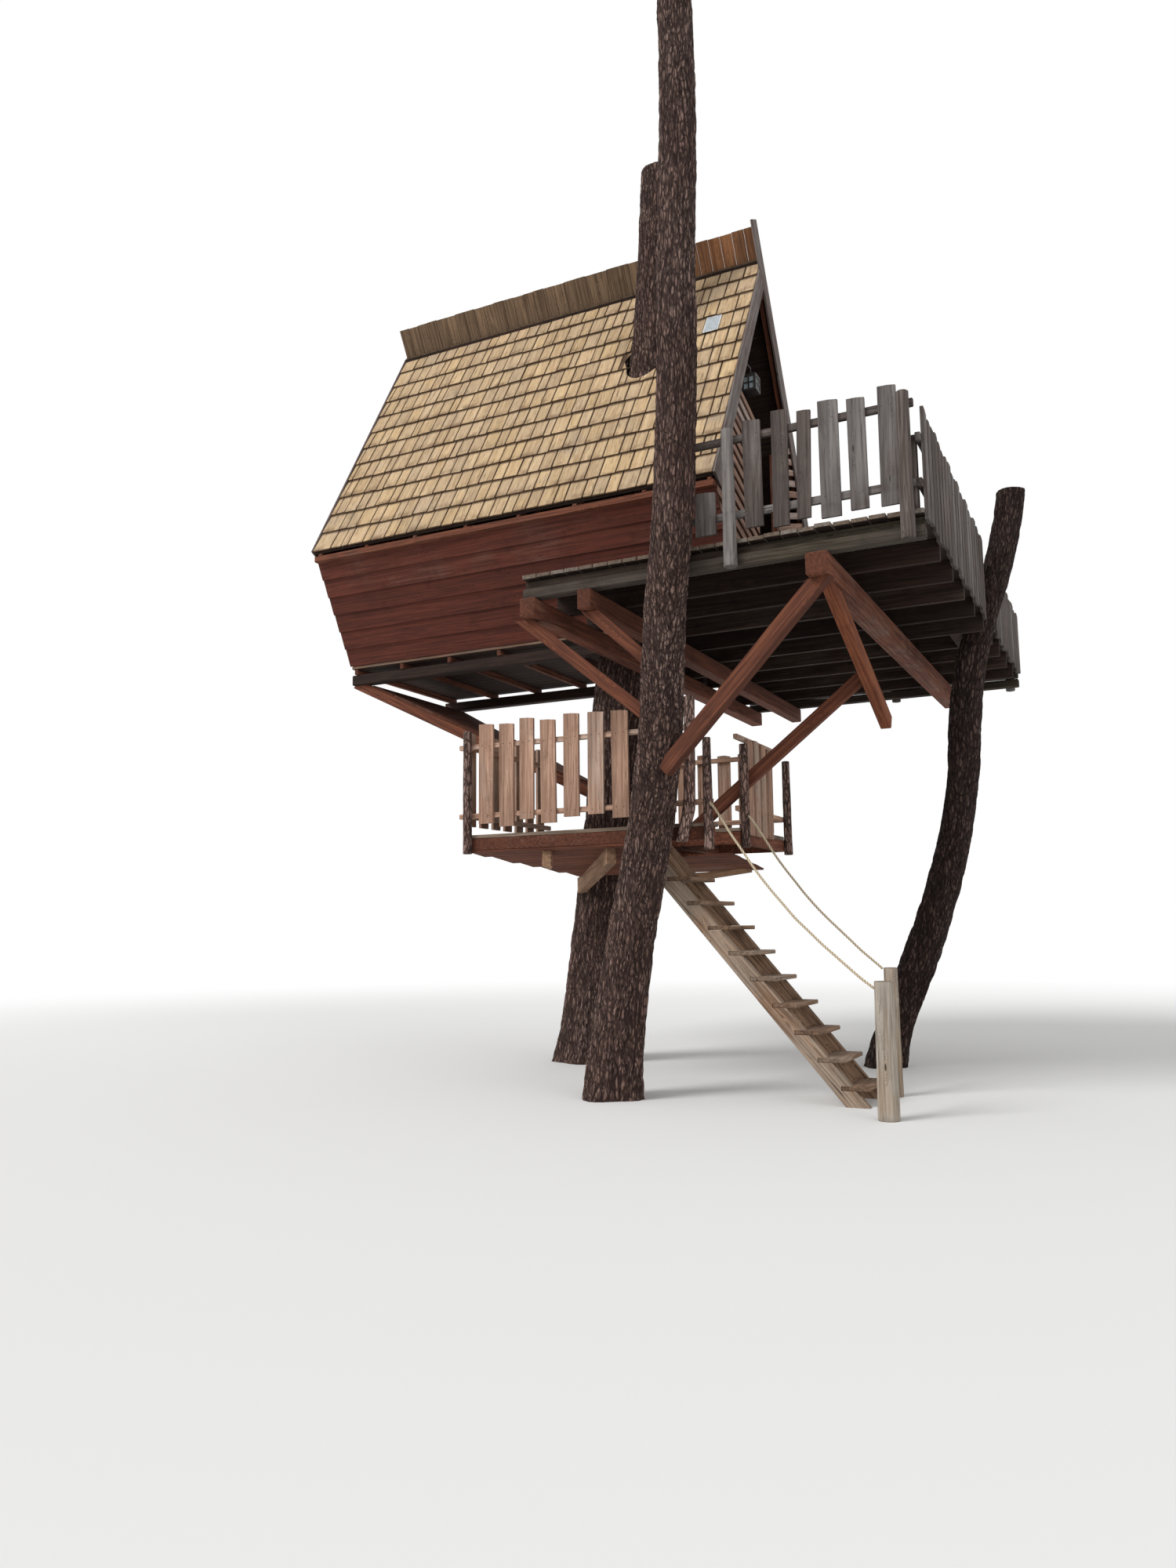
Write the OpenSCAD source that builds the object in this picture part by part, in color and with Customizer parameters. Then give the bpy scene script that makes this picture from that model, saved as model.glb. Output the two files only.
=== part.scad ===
// Tree house on three living trunks: an A-frame cabin and deck above, a small
// railed platform below it, and a plank stair with two slack hand ropes.
// X runs along the ridge towards the open gable, Z is up, and the origin is
// the foot of the main trunk.

/* [Cabin] */
// Left end of the roof and cabin
cabin_left = -2800; // [-3100:10:-2790]
// Length of the roof from end to end
roof_len = 5230; // [5100:10:5400]
// Height of the ridge above the ground
ridge_z = 9640; // [9400:10:9700]
// Height of the eaves above the ground
eave_z = 6230; // [6150:10:6300]
// Half width of the roof at the eaves
eave_half = 1930; // [1850:10:2000]
// Thickness of the roof boards and shingles together
roof_t = 60; // [50:1:70]
// Courses of shingles on each slope
roof_courses = 12; // [8:1:16]
// Step at the butt of a shingle course
shingle_step = 18; // [10:1:25]
// Half width of the cabin at its floor
floor_half = 1170; // [1100:10:1250]
// Lapped boards on each side wall
wall_courses = 6; // [4:1:8]
// Thickness of a side wall at a lap
wall_t = 45; // [35:1:60]
// Thickness of the back gable's boards
gable_t = 28; // [20:1:40]
// Thickness of the front slats
slat_t = 25; // [20:1:32]
// Width of a front slat
slat_w = 80; // [60:5:105]
// Distance from one front slat to the next
slat_pitch = 135; // [120:5:160]
// Fall of the front slats towards the doorway, in degrees
slat_tilt = 18; // [0:1:24]
// Height of the top slat above the floor, at the doorway
slat_top = 2470; // [2300:10:2600]
// Width of the doorway
door_w = 760; // [650:10:900]
// Height of the door posts
door_h = 2370; // [2200:10:2400]
// Width of a door post
door_post_w = 70; // [60:5:90]

/* [Frame] */
// Width of rafters, studs and cabin joists
frame_w = 50; // [40:1:70]
// Depth of a rafter
rafter_h = 100; // [80:5:120]
// Depth of a wall stud
stud_h = 70; // [50:5:90]
// Height of the wall plate
plate_h = 70; // [50:5:90]
// Frames on the cabin's part left of the trunk
left_frames = 6; // [5:1:7]
// Rafter pair on the right of the trunk, along X
trunk_frame_x = 1640; // [1600:5:1660]
// Width of the grey rake boards on the gables
rake_w = 200; // [150:5:260]
// Thickness of the rake boards
rake_t = 30; // [20:1:40]
// Rise of the far rake board's tail above the crest
rake_tail = 60; // [20:5:80]

/* [Crest] */
// Reach of the crest boards past the ridge
crest_reach = 370; // [300:10:520]
// Overlap of the crest boards on the far slope
crest_lap = 340; // [330:10:420]
// Thickness of a crest board
crest_t = 22; // [15:1:30]
// Width of a crest board with its slit
crest_pitch = 150; // [120:5:200]
// Slit between crest boards
crest_gap = 8; // [4:1:15]

/* [Deck] */
// Top of the deck and cabin floor
deck_z = 4930; // [4880:10:4980]
// Left end of the deck under the cabin
deck_left = 1020; // [1010:5:1040]
// Right edge of the deck
deck_right = 4760; // [4700:10:4850]
// Outer face of the near and far edge beams from the ridge line
deck_half = 3400; // [3350:10:3450]
// Thickness of the deck boards
board_t = 40; // [30:1:45]
// Width of a deck board with its gap
board_pitch = 150; // [120:5:180]
// Gap between boards
board_gap = 7; // [3:1:12]
// Depth of the joists
joist_h = 200; // [150:5:220]
// Width of a joist
joist_w = 60; // [45:5:80]
// Spaces between the joists across the deck
joist_bays = 10; // [8:1:12]
// Depth of the cross beams below the joists
beam_h = 190; // [150:5:220]
// Width of the edge beams
edge_w = 120; // [90:5:150]
// Height of the proud lower part of the edge beams
edge_h = 110; // [90:5:140]

/* [Railing] */
// Height of the railing above the deck
rail_top = 950; // [900:10:1000]
// Height of the right-hand railing above the deck
side_rail_top = 650; // [600:10:700]
// Height of the lower rail above the deck
rail_low = 190; // [150:10:250]
// Thickness of a rail
rail_t = 45; // [30:1:60]
// Height of a rail
rail_h = 70; // [50:5:90]
// Thickness of a picket
picket_t = 28; // [20:1:40]
// Width of a picket
picket_w = 145; // [120:5:160]
// Diameter of a railing log
log_d = 125; // [100:5:150]
// Distance from one picket to the next on the right side
side_pitch = 168; // [160:2:190]

/* [Platform] */
// Top of the lower platform's floor
low_z = 2560; // [2500:10:2600]
// Left edge of the lower platform
low_left = -200; // [-250:10:-150]
// Right edge of the lower platform
low_right = 2550; // [2500:10:2650]
// Near edge of the lower platform
low_near = -2500; // [-2520:5:-2495]
// Far edge of the lower platform
low_far = -150; // [-200:10:-100]
// Height of the platform's rim beams
low_rim_h = 120; // [100:5:150]
// Width of the platform's rim beams
low_rim_w = 60; // [50:5:80]
// Height of the pickets' tops above the platform
low_picket_top = 1160; // [1000:10:1250]
// Height of the pickets' feet above the platform
low_picket_foot = 110; // [90:5:150]
// Diameter of the platform's logs
low_log_d = 105; // [90:5:130]
// Diameter of the crooked post
crook_d = 130; // [110:5:150]

/* [Stair] */
// Foot of the stair along X
stair_foot = 3790; // [3700:10:3900]
// Near side of the stair
stair_near = -2420; // [-2430:5:-2410]
// Width of the stair over both stringers
stair_w = 660; // [600:10:700]
// Rise of a step
stair_rise = 235; // [220:1:240]
// Depth of a stringer
stringer_h = 160; // [140:5:180]
// Thickness of a stringer
stringer_t = 75; // [60:5:90]
// Depth of a tread
tread_d = 250; // [220:5:280]
// Thickness of a tread
tread_t = 40; // [30:1:50]
// Diameter of the hand ropes
rope_d = 24; // [20:1:26]

/* [Hidden] */

far = 20000;
// Gap between pieces that only meet end to end.
seat = 0.3;

// Roof slope: unit vectors along and square to the near slope, in Y and Z.
slope_len = norm([eave_half, ridge_z - eave_z]);
slope_y = eave_half / slope_len;
slope_z = (ridge_z - eave_z) / slope_len;
cabin_right = cabin_left + roof_len;
function on_slope(s, depth) = [
    -eave_half + s * slope_y + depth * slope_z,
    eave_z + s * slope_z - depth * slope_y
];
// Height of a line parallel to the slope where it meets the ridge plane.
function apex_z(depth) = ridge_z - depth / slope_y;
// Y on the near side of a line parallel to the slope, at height z.
function slope_at(z, depth) = -(apex_z(depth) - z) * slope_y / slope_z;

// Levels of the deck's layers.
joist_top = deck_z - board_t;
joist_bottom = joist_top - joist_h;
beam_bottom = joist_bottom - beam_h;

// Side walls lean out from the floor to the wall plates.
plate_top = eave_z - roof_t;
plate_bottom = plate_top - plate_h;
plate_out = slope_at(plate_top, roof_t);
plate_in = slope_at(plate_top, roof_t + rafter_h);
wall_top_y = plate_out + 50;
wall_len = norm([wall_top_y + floor_half, plate_bottom - deck_z]);
wall_y = (wall_top_y + floor_half) / wall_len;
wall_z = (plate_bottom - deck_z) / wall_len;
function on_wall(s, depth) = [
    -floor_half + s * wall_y + depth * wall_z,
    deck_z + s * wall_z - depth * wall_y
];
// Y on the near side of a line parallel to the wall, at height z.
function wall_at(z, depth) = -floor_half + (z - deck_z) * wall_y / wall_z + depth / wall_z;

// Frames stand at even steps up to the trunk, then beyond it and at the gable.
frame_first = cabin_left + 80;
frame_last = deck_left - 215;
frame_pitch = (frame_last - frame_first) / (left_frames - 1);
slat_x = cabin_right - slat_t;
frame_at = concat([for (k = [0:left_frames - 1]) frame_first + k * frame_pitch],
    [trunk_frame_x, slat_x - frame_w / 2]);

// Extrudes an outline drawn in Y and Z along X.
module along_x(x0, x1) {
    translate([x0, 0, 0])
        rotate([90, 0, 90])
            linear_extrude(x1 - x0)
                children();
}

// Extrudes an outline drawn in X and Z along Y.
module along_y(y0, y1) {
    translate([0, y1, 0])
        rotate([90, 0, 0])
            linear_extrude(y1 - y0)
                children();
}

module far_side() {
    mirror([0, 1, 0])
        children();
}

module box(from, to) {
    translate(from)
        cube(to - from);
}

// Round log between two points.
module log(from, to, d0, d1) {
    d = to - from;
    translate(from)
        rotate([0, atan2(norm([d.x, d.y]), d.z), atan2(d.y, d.x)])
            cylinder(norm(d), r1 = d0 / 2, r2 = d1 / 2, $fn = 32);
}

// Square timber between two points, its faces upright, w wide and h deep.
module timber(from, to, w, h) {
    d = to - from;
    run = norm([d.x, d.y]);
    translate(from)
        rotate([0, -atan2(d.z, run), atan2(d.y, d.x)])
            translate([0, -w / 2, -h / 2])
                cube([norm(d), w, h]);
}

// Trunks: the centre line is a list of [x, y, z, radius] stations, joined by
// smooth steps, and each ring bulges in a few lobes that fade with height.
function ease(t) = t * t * (3 - 2 * t);
function station(path, z, k = 0) =
    k >= len(path) - 2 || z < path[k + 1][2] ?
        let(t = (z - path[k][2]) / (path[k + 1][2] - path[k][2]))
            path[k] + (path[k + 1] - path[k]) * t
    : station(path, z, k + 1);
function smooth_station(path, z, reach) =
    (station(path, max(z - reach, 0)) + 2 * station(path, z)
        + station(path, min(z + reach, path[len(path) - 1][2]))) / 4;
trunk_sides = 20;
module trunk(path, ring_step, lobes, flare) {
    top = path[len(path) - 1][2];
    n = ceil(top / ring_step);
    points = [for (j = [0:n]) let(z = top * j / n, c = smooth_station(path, z, 300))
        for (i = [0:trunk_sides - 1])
            let(a = 360 * i / trunk_sides,
                swell = 1 + flare * exp(-z / 350) * (1 + 0.45 * cos(lobes * a + 40))
                    + 0.04 * cos(3 * a + z / 9))
                [c[0] + c[3] * swell * cos(a), c[1] + c[3] * swell * sin(a), z]];
    sides = [for (j = [0:n - 1]) for (i = [0:trunk_sides - 1])
        let(a = j * trunk_sides + i, b = j * trunk_sides + (i + 1) % trunk_sides)
            each [[a, b + trunk_sides, b], [a, a + trunk_sides, b + trunk_sides]]];
    base = [for (i = [0:trunk_sides - 1]) i];
    cap = [for (i = [trunk_sides - 1:-1:0]) n * trunk_sides + i];
    polyhedron(points, concat([base], sides, [cap]));
}

main_path = [[0, 0, 0, 400], [150, -80, 1000, 380], [300, -165, 2000, 370],
    [450, -250, 3000, 355], [700, -390, 4700, 345], [1000, -560, 6700, 300],
    [1250, -690, 8400, 250], [1450, -800, 10600, 215]];
near_path = [[1520, low_near - 160, 0, 270], [1760, low_near - 180, 1450, 245],
    [2010, low_near - 250, 2500, 240], [2300, min(320 - deck_half, low_near - 580), 3500, 215],
    [2500, -40 - deck_half, 4400, 205], [2640, -180 - deck_half, 5000, 200],
    [2740, -220 - deck_half, 6700, 195], [2800, -240 - deck_half, 8600, 185],
    [2810, -240 - deck_half, 10600, 170]];

// The right trunk rises through the deck's right edge, midway between two joists.
joist_first = -deck_half + edge_w / 2;
joist_step = 2 * (deck_half - edge_w / 2) / joist_bays;
right_place = 330;
right_bay = floor((right_place - joist_first) / joist_step);
right_y = joist_first + (right_bay + 0.5) * joist_step;
right_path = [[3345, 600, 0, 215], [3535, 562, 550, 212], [3775, 526, 1050, 232],
    [3985, 490, 1565, 215], [4215, 440, 2250, 203], [deck_right - 425, 400, 2760, 183],
    [deck_right - 335, 370, 3270, 182], [deck_right - 310, 350, 3750, 190],
    [deck_right - 190, right_y, 4470, 182], [deck_right - 60, right_y, 4880, 178],
    [deck_right + 155, right_y, 5480, 172], [deck_right + 335, right_y, 6300, 163]];

module main_shape() {
    trunk(main_path, 530, 5, 0.22);
}

module near_shape() {
    trunk(near_path, 530, 4, 0.18);
}

module right_shape() {
    trunk(right_path, 520, 4, 0.2);
}

// Room left round a trunk where it passes a floor or the roof.
module room_round(path, z0, z1, room) {
    a = station(path, z0);
    b = station(path, z1);
    d = b - a;
    translate([a[0], a[1], a[2]])
        rotate([0, 0, atan2(d[1], d[0])])
            rotate([0, atan2(norm([d[0], d[1]]), d[2]), 0])
                translate([0, 0, -200])
                    cylinder(norm([d[0], d[1], d[2]]) + 400, r = a[3] * 1.04 + room, $fn = 48);
}

module trunk_main() {
    color("saddlebrown")
        difference() {
            main_shape();
            cross_beam(0);
            lower_arms();
            cabin_braces();
            lower_joists();
        }
}

module trunk_near() {
    color("saddlebrown")
        difference() {
            near_shape();
            box([deck_left, -deck_half, joist_bottom], [deck_right, 0, deck_z]);
            near_brace_outer();
            near_brace_inner();
            near_brace_right();
            near_rim();
        }
}

module trunk_right() {
    color("saddlebrown")
        difference() {
            right_shape();
            trimmer();
        }
}

// Cross beams run under the joists, from the near edge to the far one.
beam_x = [deck_left, deck_left + 610, deck_left + 2760];
beam_w = [160, 140, 200];
beam_over = 60;

module cross_beam(k) {
    box([beam_x[k], -deck_half - beam_over, beam_bottom],
        [beam_x[k] + beam_w[k], deck_half - 10, joist_bottom]);
}

module cross_beams() {
    color("sienna")
        for (k = [0:2])
            cross_beam(k);
}

module edge_beam() {
    along_x(deck_left, deck_right)
        polygon([[-deck_half, joist_bottom], [-deck_half, joist_bottom + edge_h],
            [-deck_half + 60, joist_bottom + edge_h], [-deck_half + 60, joist_top],
            [-deck_half + edge_w, joist_top], [-deck_half + edge_w, joist_bottom]]);
}

module edge_beams() {
    color("peru") {
        edge_beam();
        far_side()
            edge_beam();
    }
}

// Trimmer between two joists: the right trunk is let on to its side.
trimmer_w = 110;
trimmer_bite = 15;

module trimmer() {
    c = station(right_path, (joist_bottom + joist_top) / 2);
    x = c[0] - c[3] + trimmer_bite;
    box([x - trimmer_w, right_y - joist_step / 2, joist_bottom],
        [x, right_y + joist_step / 2, joist_top]);
}

module deck_joists() {
    color("maroon")
        difference() {
            union() {
                for (k = [1:joist_bays - 1]) {
                    y = joist_first + k * joist_step;
                    box([deck_left, y - joist_w / 2, joist_bottom],
                        [deck_right, y + joist_w / 2, joist_top]);
                }
                trimmer();
            }
            cabin_bearers();
            room_round(main_path, joist_bottom, joist_top, 15);
        }
}

deck_board_count = round((deck_right - deck_left + board_gap) / board_pitch);
deck_board_step = (deck_right - deck_left + board_gap) / deck_board_count;
// Uneven ends of the deck boards: how far each one reaches past the edge beam.
function board_reach(k) = 25 + 20 * sin(k * 137) + 10 * sin(k * 61);
function near_log_beside(x0, x1) =
    len([for (x = near_log_x) if (x > x0 - log_d && x < x1 + log_d) x]) > 0;

module deck_boards() {
    color("rosybrown")
        difference() {
            for (k = [0:deck_board_count - 1]) {
                x0 = deck_left + k * deck_board_step;
                x1 = x0 + deck_board_step - board_gap;
                over = near_log_beside(x0, x1) || x0 < near_log_x[0] ? 0 : board_reach(k);
                box([x0, -deck_half - over, joist_top], [x1, deck_half, deck_z]);
            }
            room_round(main_path, joist_top, deck_z, 25);
            room_round(right_path, joist_top, deck_z, 25);
        }
}

// The cabin's bearers lie on the left cross beam, and its joists on them.
bearer_w = 140;
bearer_y = floor_half - 110;
cabin_joist_h = 70;
bearer_top = joist_top - cabin_joist_h;

module cabin_bearers() {
    color("maroon")
        for (side = [-1, 1])
            box([cabin_left, side * bearer_y - bearer_w / 2, joist_bottom],
                [deck_left + beam_w[0], side * bearer_y + bearer_w / 2, bearer_top]);
}

module cabin_joists() {
    color("sienna")
        for (x = frame_at)
            if (x + frame_w < station(main_path, joist_top)[0] - 450)
                box([x - frame_w / 2, -floor_half + 20, bearer_top],
                    [x + frame_w / 2, floor_half - 20, joist_top]);
}

floor_boards = 15;

module cabin_floor() {
    step = 2 * (floor_half - 10) / floor_boards;
    color("rosybrown")
        difference() {
            for (k = [0:floor_boards - 1])
                box([cabin_left + 20, -floor_half + 10 + k * step, joist_top],
                    [deck_left - board_gap, -floor_half + 10 + (k + 1) * step - board_gap, deck_z]);
            room_round(main_path, joist_top, deck_z, 25);
            trunk = station(main_path, deck_z);
            box([trunk[0], trunk[1] - trunk[3], 0], [far, trunk[1] + trunk[3], far]);
        }
}

// Side wall of lapped boards: each board's lower edge stands proud of the next.
module side_wall() {
    step = wall_len / wall_courses;
    outer = [for (k = [0:wall_courses - 1])
        each [on_wall(k * step, 0), on_wall((k + 1) * step, 18)]];
    along_x(cabin_left, cabin_right)
        intersection() {
            polygon(concat(outer, [on_wall(wall_len + 60, 18), on_wall(wall_len + 60, wall_t),
                on_wall(-60, wall_t), on_wall(-60, 0)]));
            translate([-far / 2, deck_z])
                square([far, plate_bottom - deck_z]);
        }
}

module near_side_wall() {
    color("sienna")
        side_wall();
}

module far_side_wall() {
    color("sienna")
        far_side()
            side_wall();
}

module studs() {
    for (x = frame_at)
        along_x(x - frame_w / 2, x + frame_w / 2)
            polygon([[wall_at(deck_z, wall_t), deck_z],
                [wall_at(plate_bottom, wall_t), plate_bottom],
                [wall_at(plate_bottom, wall_t + stud_h), plate_bottom],
                [wall_at(deck_z, wall_t + stud_h), deck_z]]);
}

module near_studs() {
    color("chocolate")
        studs();
}

module far_studs() {
    color("chocolate")
        far_side()
            studs();
}

module wall_plate() {
    box([cabin_left, plate_out, plate_bottom], [cabin_right, plate_in, plate_top]);
}

module wall_plates() {
    color("chocolate") {
        wall_plate();
        far_side()
            wall_plate();
    }
}

module rafters() {
    for (x = frame_at)
        along_x(x - frame_w / 2, x + frame_w / 2)
            polygon([[plate_out, plate_top], [0, apex_z(roof_t)],
                [0, apex_z(roof_t + rafter_h)], [plate_in, plate_top]]);
}

module near_rafters() {
    color("chocolate")
        rafters();
}

module far_rafters() {
    color("chocolate")
        far_side()
            rafters();
}

ridge_beam_w = 70;
ridge_beam_h = 140;

module ridge_beam() {
    peak = apex_z(roof_t + rafter_h);
    drop = ridge_beam_w / 2 * slope_z / slope_y;
    color("chocolate")
        along_x(cabin_left, cabin_right)
            polygon([[0, peak], [ridge_beam_w / 2, peak - drop],
                [ridge_beam_w / 2, peak - drop - ridge_beam_h],
                [-ridge_beam_w / 2, peak - drop - ridge_beam_h],
                [-ridge_beam_w / 2, peak - drop]]);
}

// One slope: courses of shingles, each with its butt standing proud.
module slope() {
    step = slope_len / roof_courses;
    outer = [for (k = [0:roof_courses - 1])
        each [on_slope(k * step, 0), on_slope((k + 1) * step, shingle_step)]];
    along_x(cabin_left, cabin_right)
        intersection() {
            polygon(concat(outer, [on_slope(slope_len + 300, shingle_step),
                on_slope(slope_len + 300, roof_t), on_slope(0, roof_t)]));
            translate([-far, 0])
                square([far, far]);
        }
}

module near_roof() {
    color("burlywood")
        difference() {
            slope();
            room_round(main_path, 7600, 9000, 20);
            pane_seat();
        }
}

module far_roof() {
    color("burlywood")
        far_side()
            slope();
}

// Crest: the far slope's top boards run on past the ridge.
crest_count = floor(roof_len / crest_pitch);
crest_step = roof_len / crest_count;
batten_h = 90;

module ridge_crest() {
    color("saddlebrown")
        far_side() {
            for (k = [0:crest_count - 1]) {
                x0 = cabin_left + k * crest_step + crest_gap / 2;
                top = crest_reach - 4 - 4 * sin(k * 97);
                along_x(x0, x0 + crest_step - crest_gap)
                    polygon([on_slope(slope_len - crest_lap, 0), on_slope(slope_len + top, 0),
                        on_slope(slope_len + top, -crest_t),
                        on_slope(slope_len - crest_lap, -crest_t)]);
            }
            along_x(cabin_left, cabin_right)
                polygon([on_slope(slope_len - crest_lap, -crest_t),
                    on_slope(slope_len - crest_lap + batten_h, -crest_t),
                    on_slope(slope_len - crest_lap + batten_h, -crest_t * 2),
                    on_slope(slope_len - crest_lap, -crest_t * 2)]);
        }
}

// Rake boards: the far one in front runs on past the ridge, as high as the
// crest, and the near one butts on its edge.
rake_end = slope_len + crest_reach + rake_tail;
rake_turn = rake_w * (slope_y - slope_z * slope_z / slope_y) / (2 * slope_z);
rake_joint = on_slope(slope_len + rake_turn, rake_w);

module front_rake_boards() {
    color("gray") {
        far_side()
            along_x(cabin_right, cabin_right + rake_t)
                polygon([on_slope(0, 0), on_slope(rake_end, 0), on_slope(rake_end, rake_w),
                    on_slope(0, rake_w)]);
        along_x(cabin_right, cabin_right + rake_t)
            polygon([on_slope(0, 0), [-rake_joint[0], rake_joint[1]], [0, apex_z(rake_w)],
                on_slope(0, rake_w)]);
    }
}

// The pair at the back meets under the crest.
module back_rake_board() {
    along_x(cabin_left - rake_t, cabin_left)
        polygon([on_slope(0, 0), [0, ridge_z], [0, apex_z(rake_w)], on_slope(0, rake_w)]);
}

module back_rake_boards() {
    color("gray") {
        back_rake_board();
        far_side()
            back_rake_board();
    }
}

// Outline of an end wall inside the roof boards and the side walls.
module gable_outline() {
    polygon([[0, apex_z(roof_t)], [plate_in, plate_top + (plate_in - plate_out) * slope_z / slope_y],
        [plate_in, plate_bottom], [wall_at(plate_bottom, wall_t), plate_bottom],
        [wall_at(deck_z, wall_t), deck_z], [-wall_at(deck_z, wall_t), deck_z],
        [-wall_at(plate_bottom, wall_t), plate_bottom], [-plate_in, plate_bottom],
        [-plate_in, plate_top + (plate_in - plate_out) * slope_z / slope_y]]);
}

module back_gable_wall() {
    color("sienna")
        difference() {
            along_x(cabin_left + 10, cabin_left + 10 + gable_t)
                gable_outline();
            ridge_beam();
        }
}

// Front wall: tilted slats nailed to the last frame and to the door posts. The
// doorway between them has no head, and the gable's top is open.
module slats() {
    along_x(slat_x, cabin_right)
        intersection() {
            gable_outline();
            translate([-door_w / 2, deck_z + slat_top])
                rotate(-slat_tilt)
                    for (k = [0:floor(slat_top / slat_pitch) + 2])
                        translate([-floor_half - 500, -k * slat_pitch - slat_w])
                            square([2 * floor_half + 500, slat_w]);
            translate([-far, deck_z])
                square([far - door_w / 2 - seat, far]);
        }
}

module front_wall() {
    color("sienna") {
        slats();
        far_side()
            slats();
    }
}

module door_post() {
    box([slat_x - door_post_w, -door_w / 2 - door_post_w, deck_z],
        [slat_x, -door_w / 2, deck_z + door_h]);
}

module door_posts() {
    color("chocolate") {
        door_post();
        far_side()
            door_post();
    }
}

// Square lantern on an arm from the near rake board's inner edge.
lantern_w = 170;
lantern_h = 200;
lantern_y = -590;
lantern_z = 7650;
lantern_arm_z = lantern_z + lantern_h + 90;

module lantern() {
    half = lantern_w / 2;
    post = 14;
    color("black") {
        translate([cabin_right + rake_t / 2, lantern_y, lantern_z]) {
            translate([-half, -half, 0])
                cube([lantern_w, lantern_w, 15]);
            for (x = [-half, half - post], y = [-half, half - post])
                translate([x, y, 0])
                    cube([post, post, lantern_h]);
            translate([-half, -half, lantern_h - 15])
                cube([lantern_w, lantern_w, 15]);
            translate([-half + 30, -half + 30, lantern_h])
                cube([lantern_w - 60, lantern_w - 60, 30]);
            cylinder(45, r = 30, $fn = 32);
            cylinder(lantern_h + 90, r = 7, $fn = 24);
        }
        along_x(cabin_right + rake_t / 2 - 6, cabin_right + rake_t / 2 + 6)
            polygon([[slope_at(lantern_arm_z, rake_w), lantern_arm_z],
                [slope_at(lantern_arm_z + 14, rake_w), lantern_arm_z + 14],
                [lantern_y + 7, lantern_arm_z + 14], [lantern_y + 7, lantern_arm_z]]);
    }
}

// The pane takes the place of one shingle, in the course that is counted here.
pane_course = 8;
pane_w = 195;
pane_t = 8;
pane_s = pane_course * slope_len / roof_courses;
pane_top = pane_s + slope_len / roof_courses - seat;
pane_x = (trunk_frame_x + cabin_right - pane_w) / 2 - 50;

module pane_seat() {
    along_x(pane_x, pane_x + pane_w)
        polygon([on_slope(pane_s, -50), on_slope(pane_top, -50),
            on_slope(pane_top, shingle_step + pane_t), on_slope(pane_s, pane_t)]);
}

module roof_pane() {
    color("lightslategray")
        along_x(pane_x, pane_x + pane_w)
            polygon([on_slope(pane_s, 0), on_slope(pane_top, shingle_step),
                on_slope(pane_top, shingle_step + pane_t), on_slope(pane_s, pane_t)]);
}

// Knee braces: cut level under the beam that they carry.
module level_cut(z) {
    difference() {
        children();
        translate([-far / 2, -far / 2, z])
            cube(far);
    }
}

// The near trunk carries three, let into it at these heights.
near_brace_y = -deck_half + 70;
function near_foot(z, dx, dy) = let(c = station(near_path, z)) [c[0] + dx, c[1] + dy, z];

module near_brace_outer() {
    color("firebrick")
        level_cut(beam_bottom)
            timber(near_foot(beam_bottom - 1080, 0, -66),
                [beam_x[0] - 120, near_brace_y, beam_bottom + 90], 100, 120);
}

module near_brace_inner() {
    color("firebrick")
        level_cut(beam_bottom)
            timber(near_foot(beam_bottom - 670, 45, -48),
                [beam_x[1] - 50, near_brace_y, beam_bottom + 120], 100, 120);
}

module near_brace_right() {
    color("firebrick")
        level_cut(beam_bottom)
            timber(near_foot(beam_bottom - 1500, 145, -135),
                [beam_x[2] + 220, near_brace_y, beam_bottom + 120], 100, 140);
}

// Raking brace under the right cross beam: its lower end is free.
raking_x = beam_x[2] + beam_w[2] / 2;
raking_w = 110;
raking_foot = [raking_x, -deck_half + 2450, beam_bottom - 880];
raking_head = [raking_x, -deck_half + 100, beam_bottom + 120];
function raking_z(y) = raking_foot.z
    + (y - raking_foot.y) * (raking_head.z - raking_foot.z) / (raking_head.y - raking_foot.y);

module raking_brace() {
    color("indianred")
        level_cut(beam_bottom)
            timber(raking_foot, raking_head, raking_w, 150);
}

// Back brace from the platform's floor to the raking brace's side.
back_brace_y = -1570;

module back_brace() {
    color("firebrick")
        difference() {
            timber([well_left + 40, back_brace_y, low_z - 140],
                [raking_x, back_brace_y, raking_z(back_brace_y) + 173], 90, 130);
            translate([-far / 2, -far / 2, low_z - far])
                cube(far);
            translate([raking_x - raking_w / 2, -far / 2, 0])
                cube(far);
        }
}

// Two braces spread from the main trunk to the left ends of the cabin's
// bearers. Boards lie across them, in the plane through both.
brace_x = 420;
brace_foot_z = joist_bottom - 1590;
brace_rise = 1620;
brace_run = brace_x - cabin_left - 40;
brace_len = norm([brace_run, brace_rise]);
brace_flat = 55;
function brace_foot_y(side) = side * 130 - 260;
// Y of a brace's middle at a distance s up the plane.
function brace_y(side, s) =
    brace_foot_y(side) + (side * bearer_y - brace_foot_y(side)) * s / brace_len;

module in_brace_plane() {
    translate([brace_x, 0, brace_foot_z])
        rotate([0, atan2(brace_rise, brace_run), 0])
            rotate([0, 0, 180])
                children();
}

module cabin_braces() {
    color("firebrick")
        difference() {
            level_cut(joist_bottom)
                for (side = [-1, 1])
                    timber([brace_x, brace_y(side, 0), brace_foot_z],
                        [brace_x - brace_run, brace_y(side, brace_len),
                            brace_foot_z + brace_rise], 100, 140);
            in_brace_plane()
                translate([-far / 2, -far / 2, brace_flat])
                    cube(far);
        }
}

cabin_soffit_boards = 9;
cabin_soffit_t = 22;
cabin_soffit_over = 60;
cabin_soffit_from = 480;
cabin_soffit_to = brace_len - 240;

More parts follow.
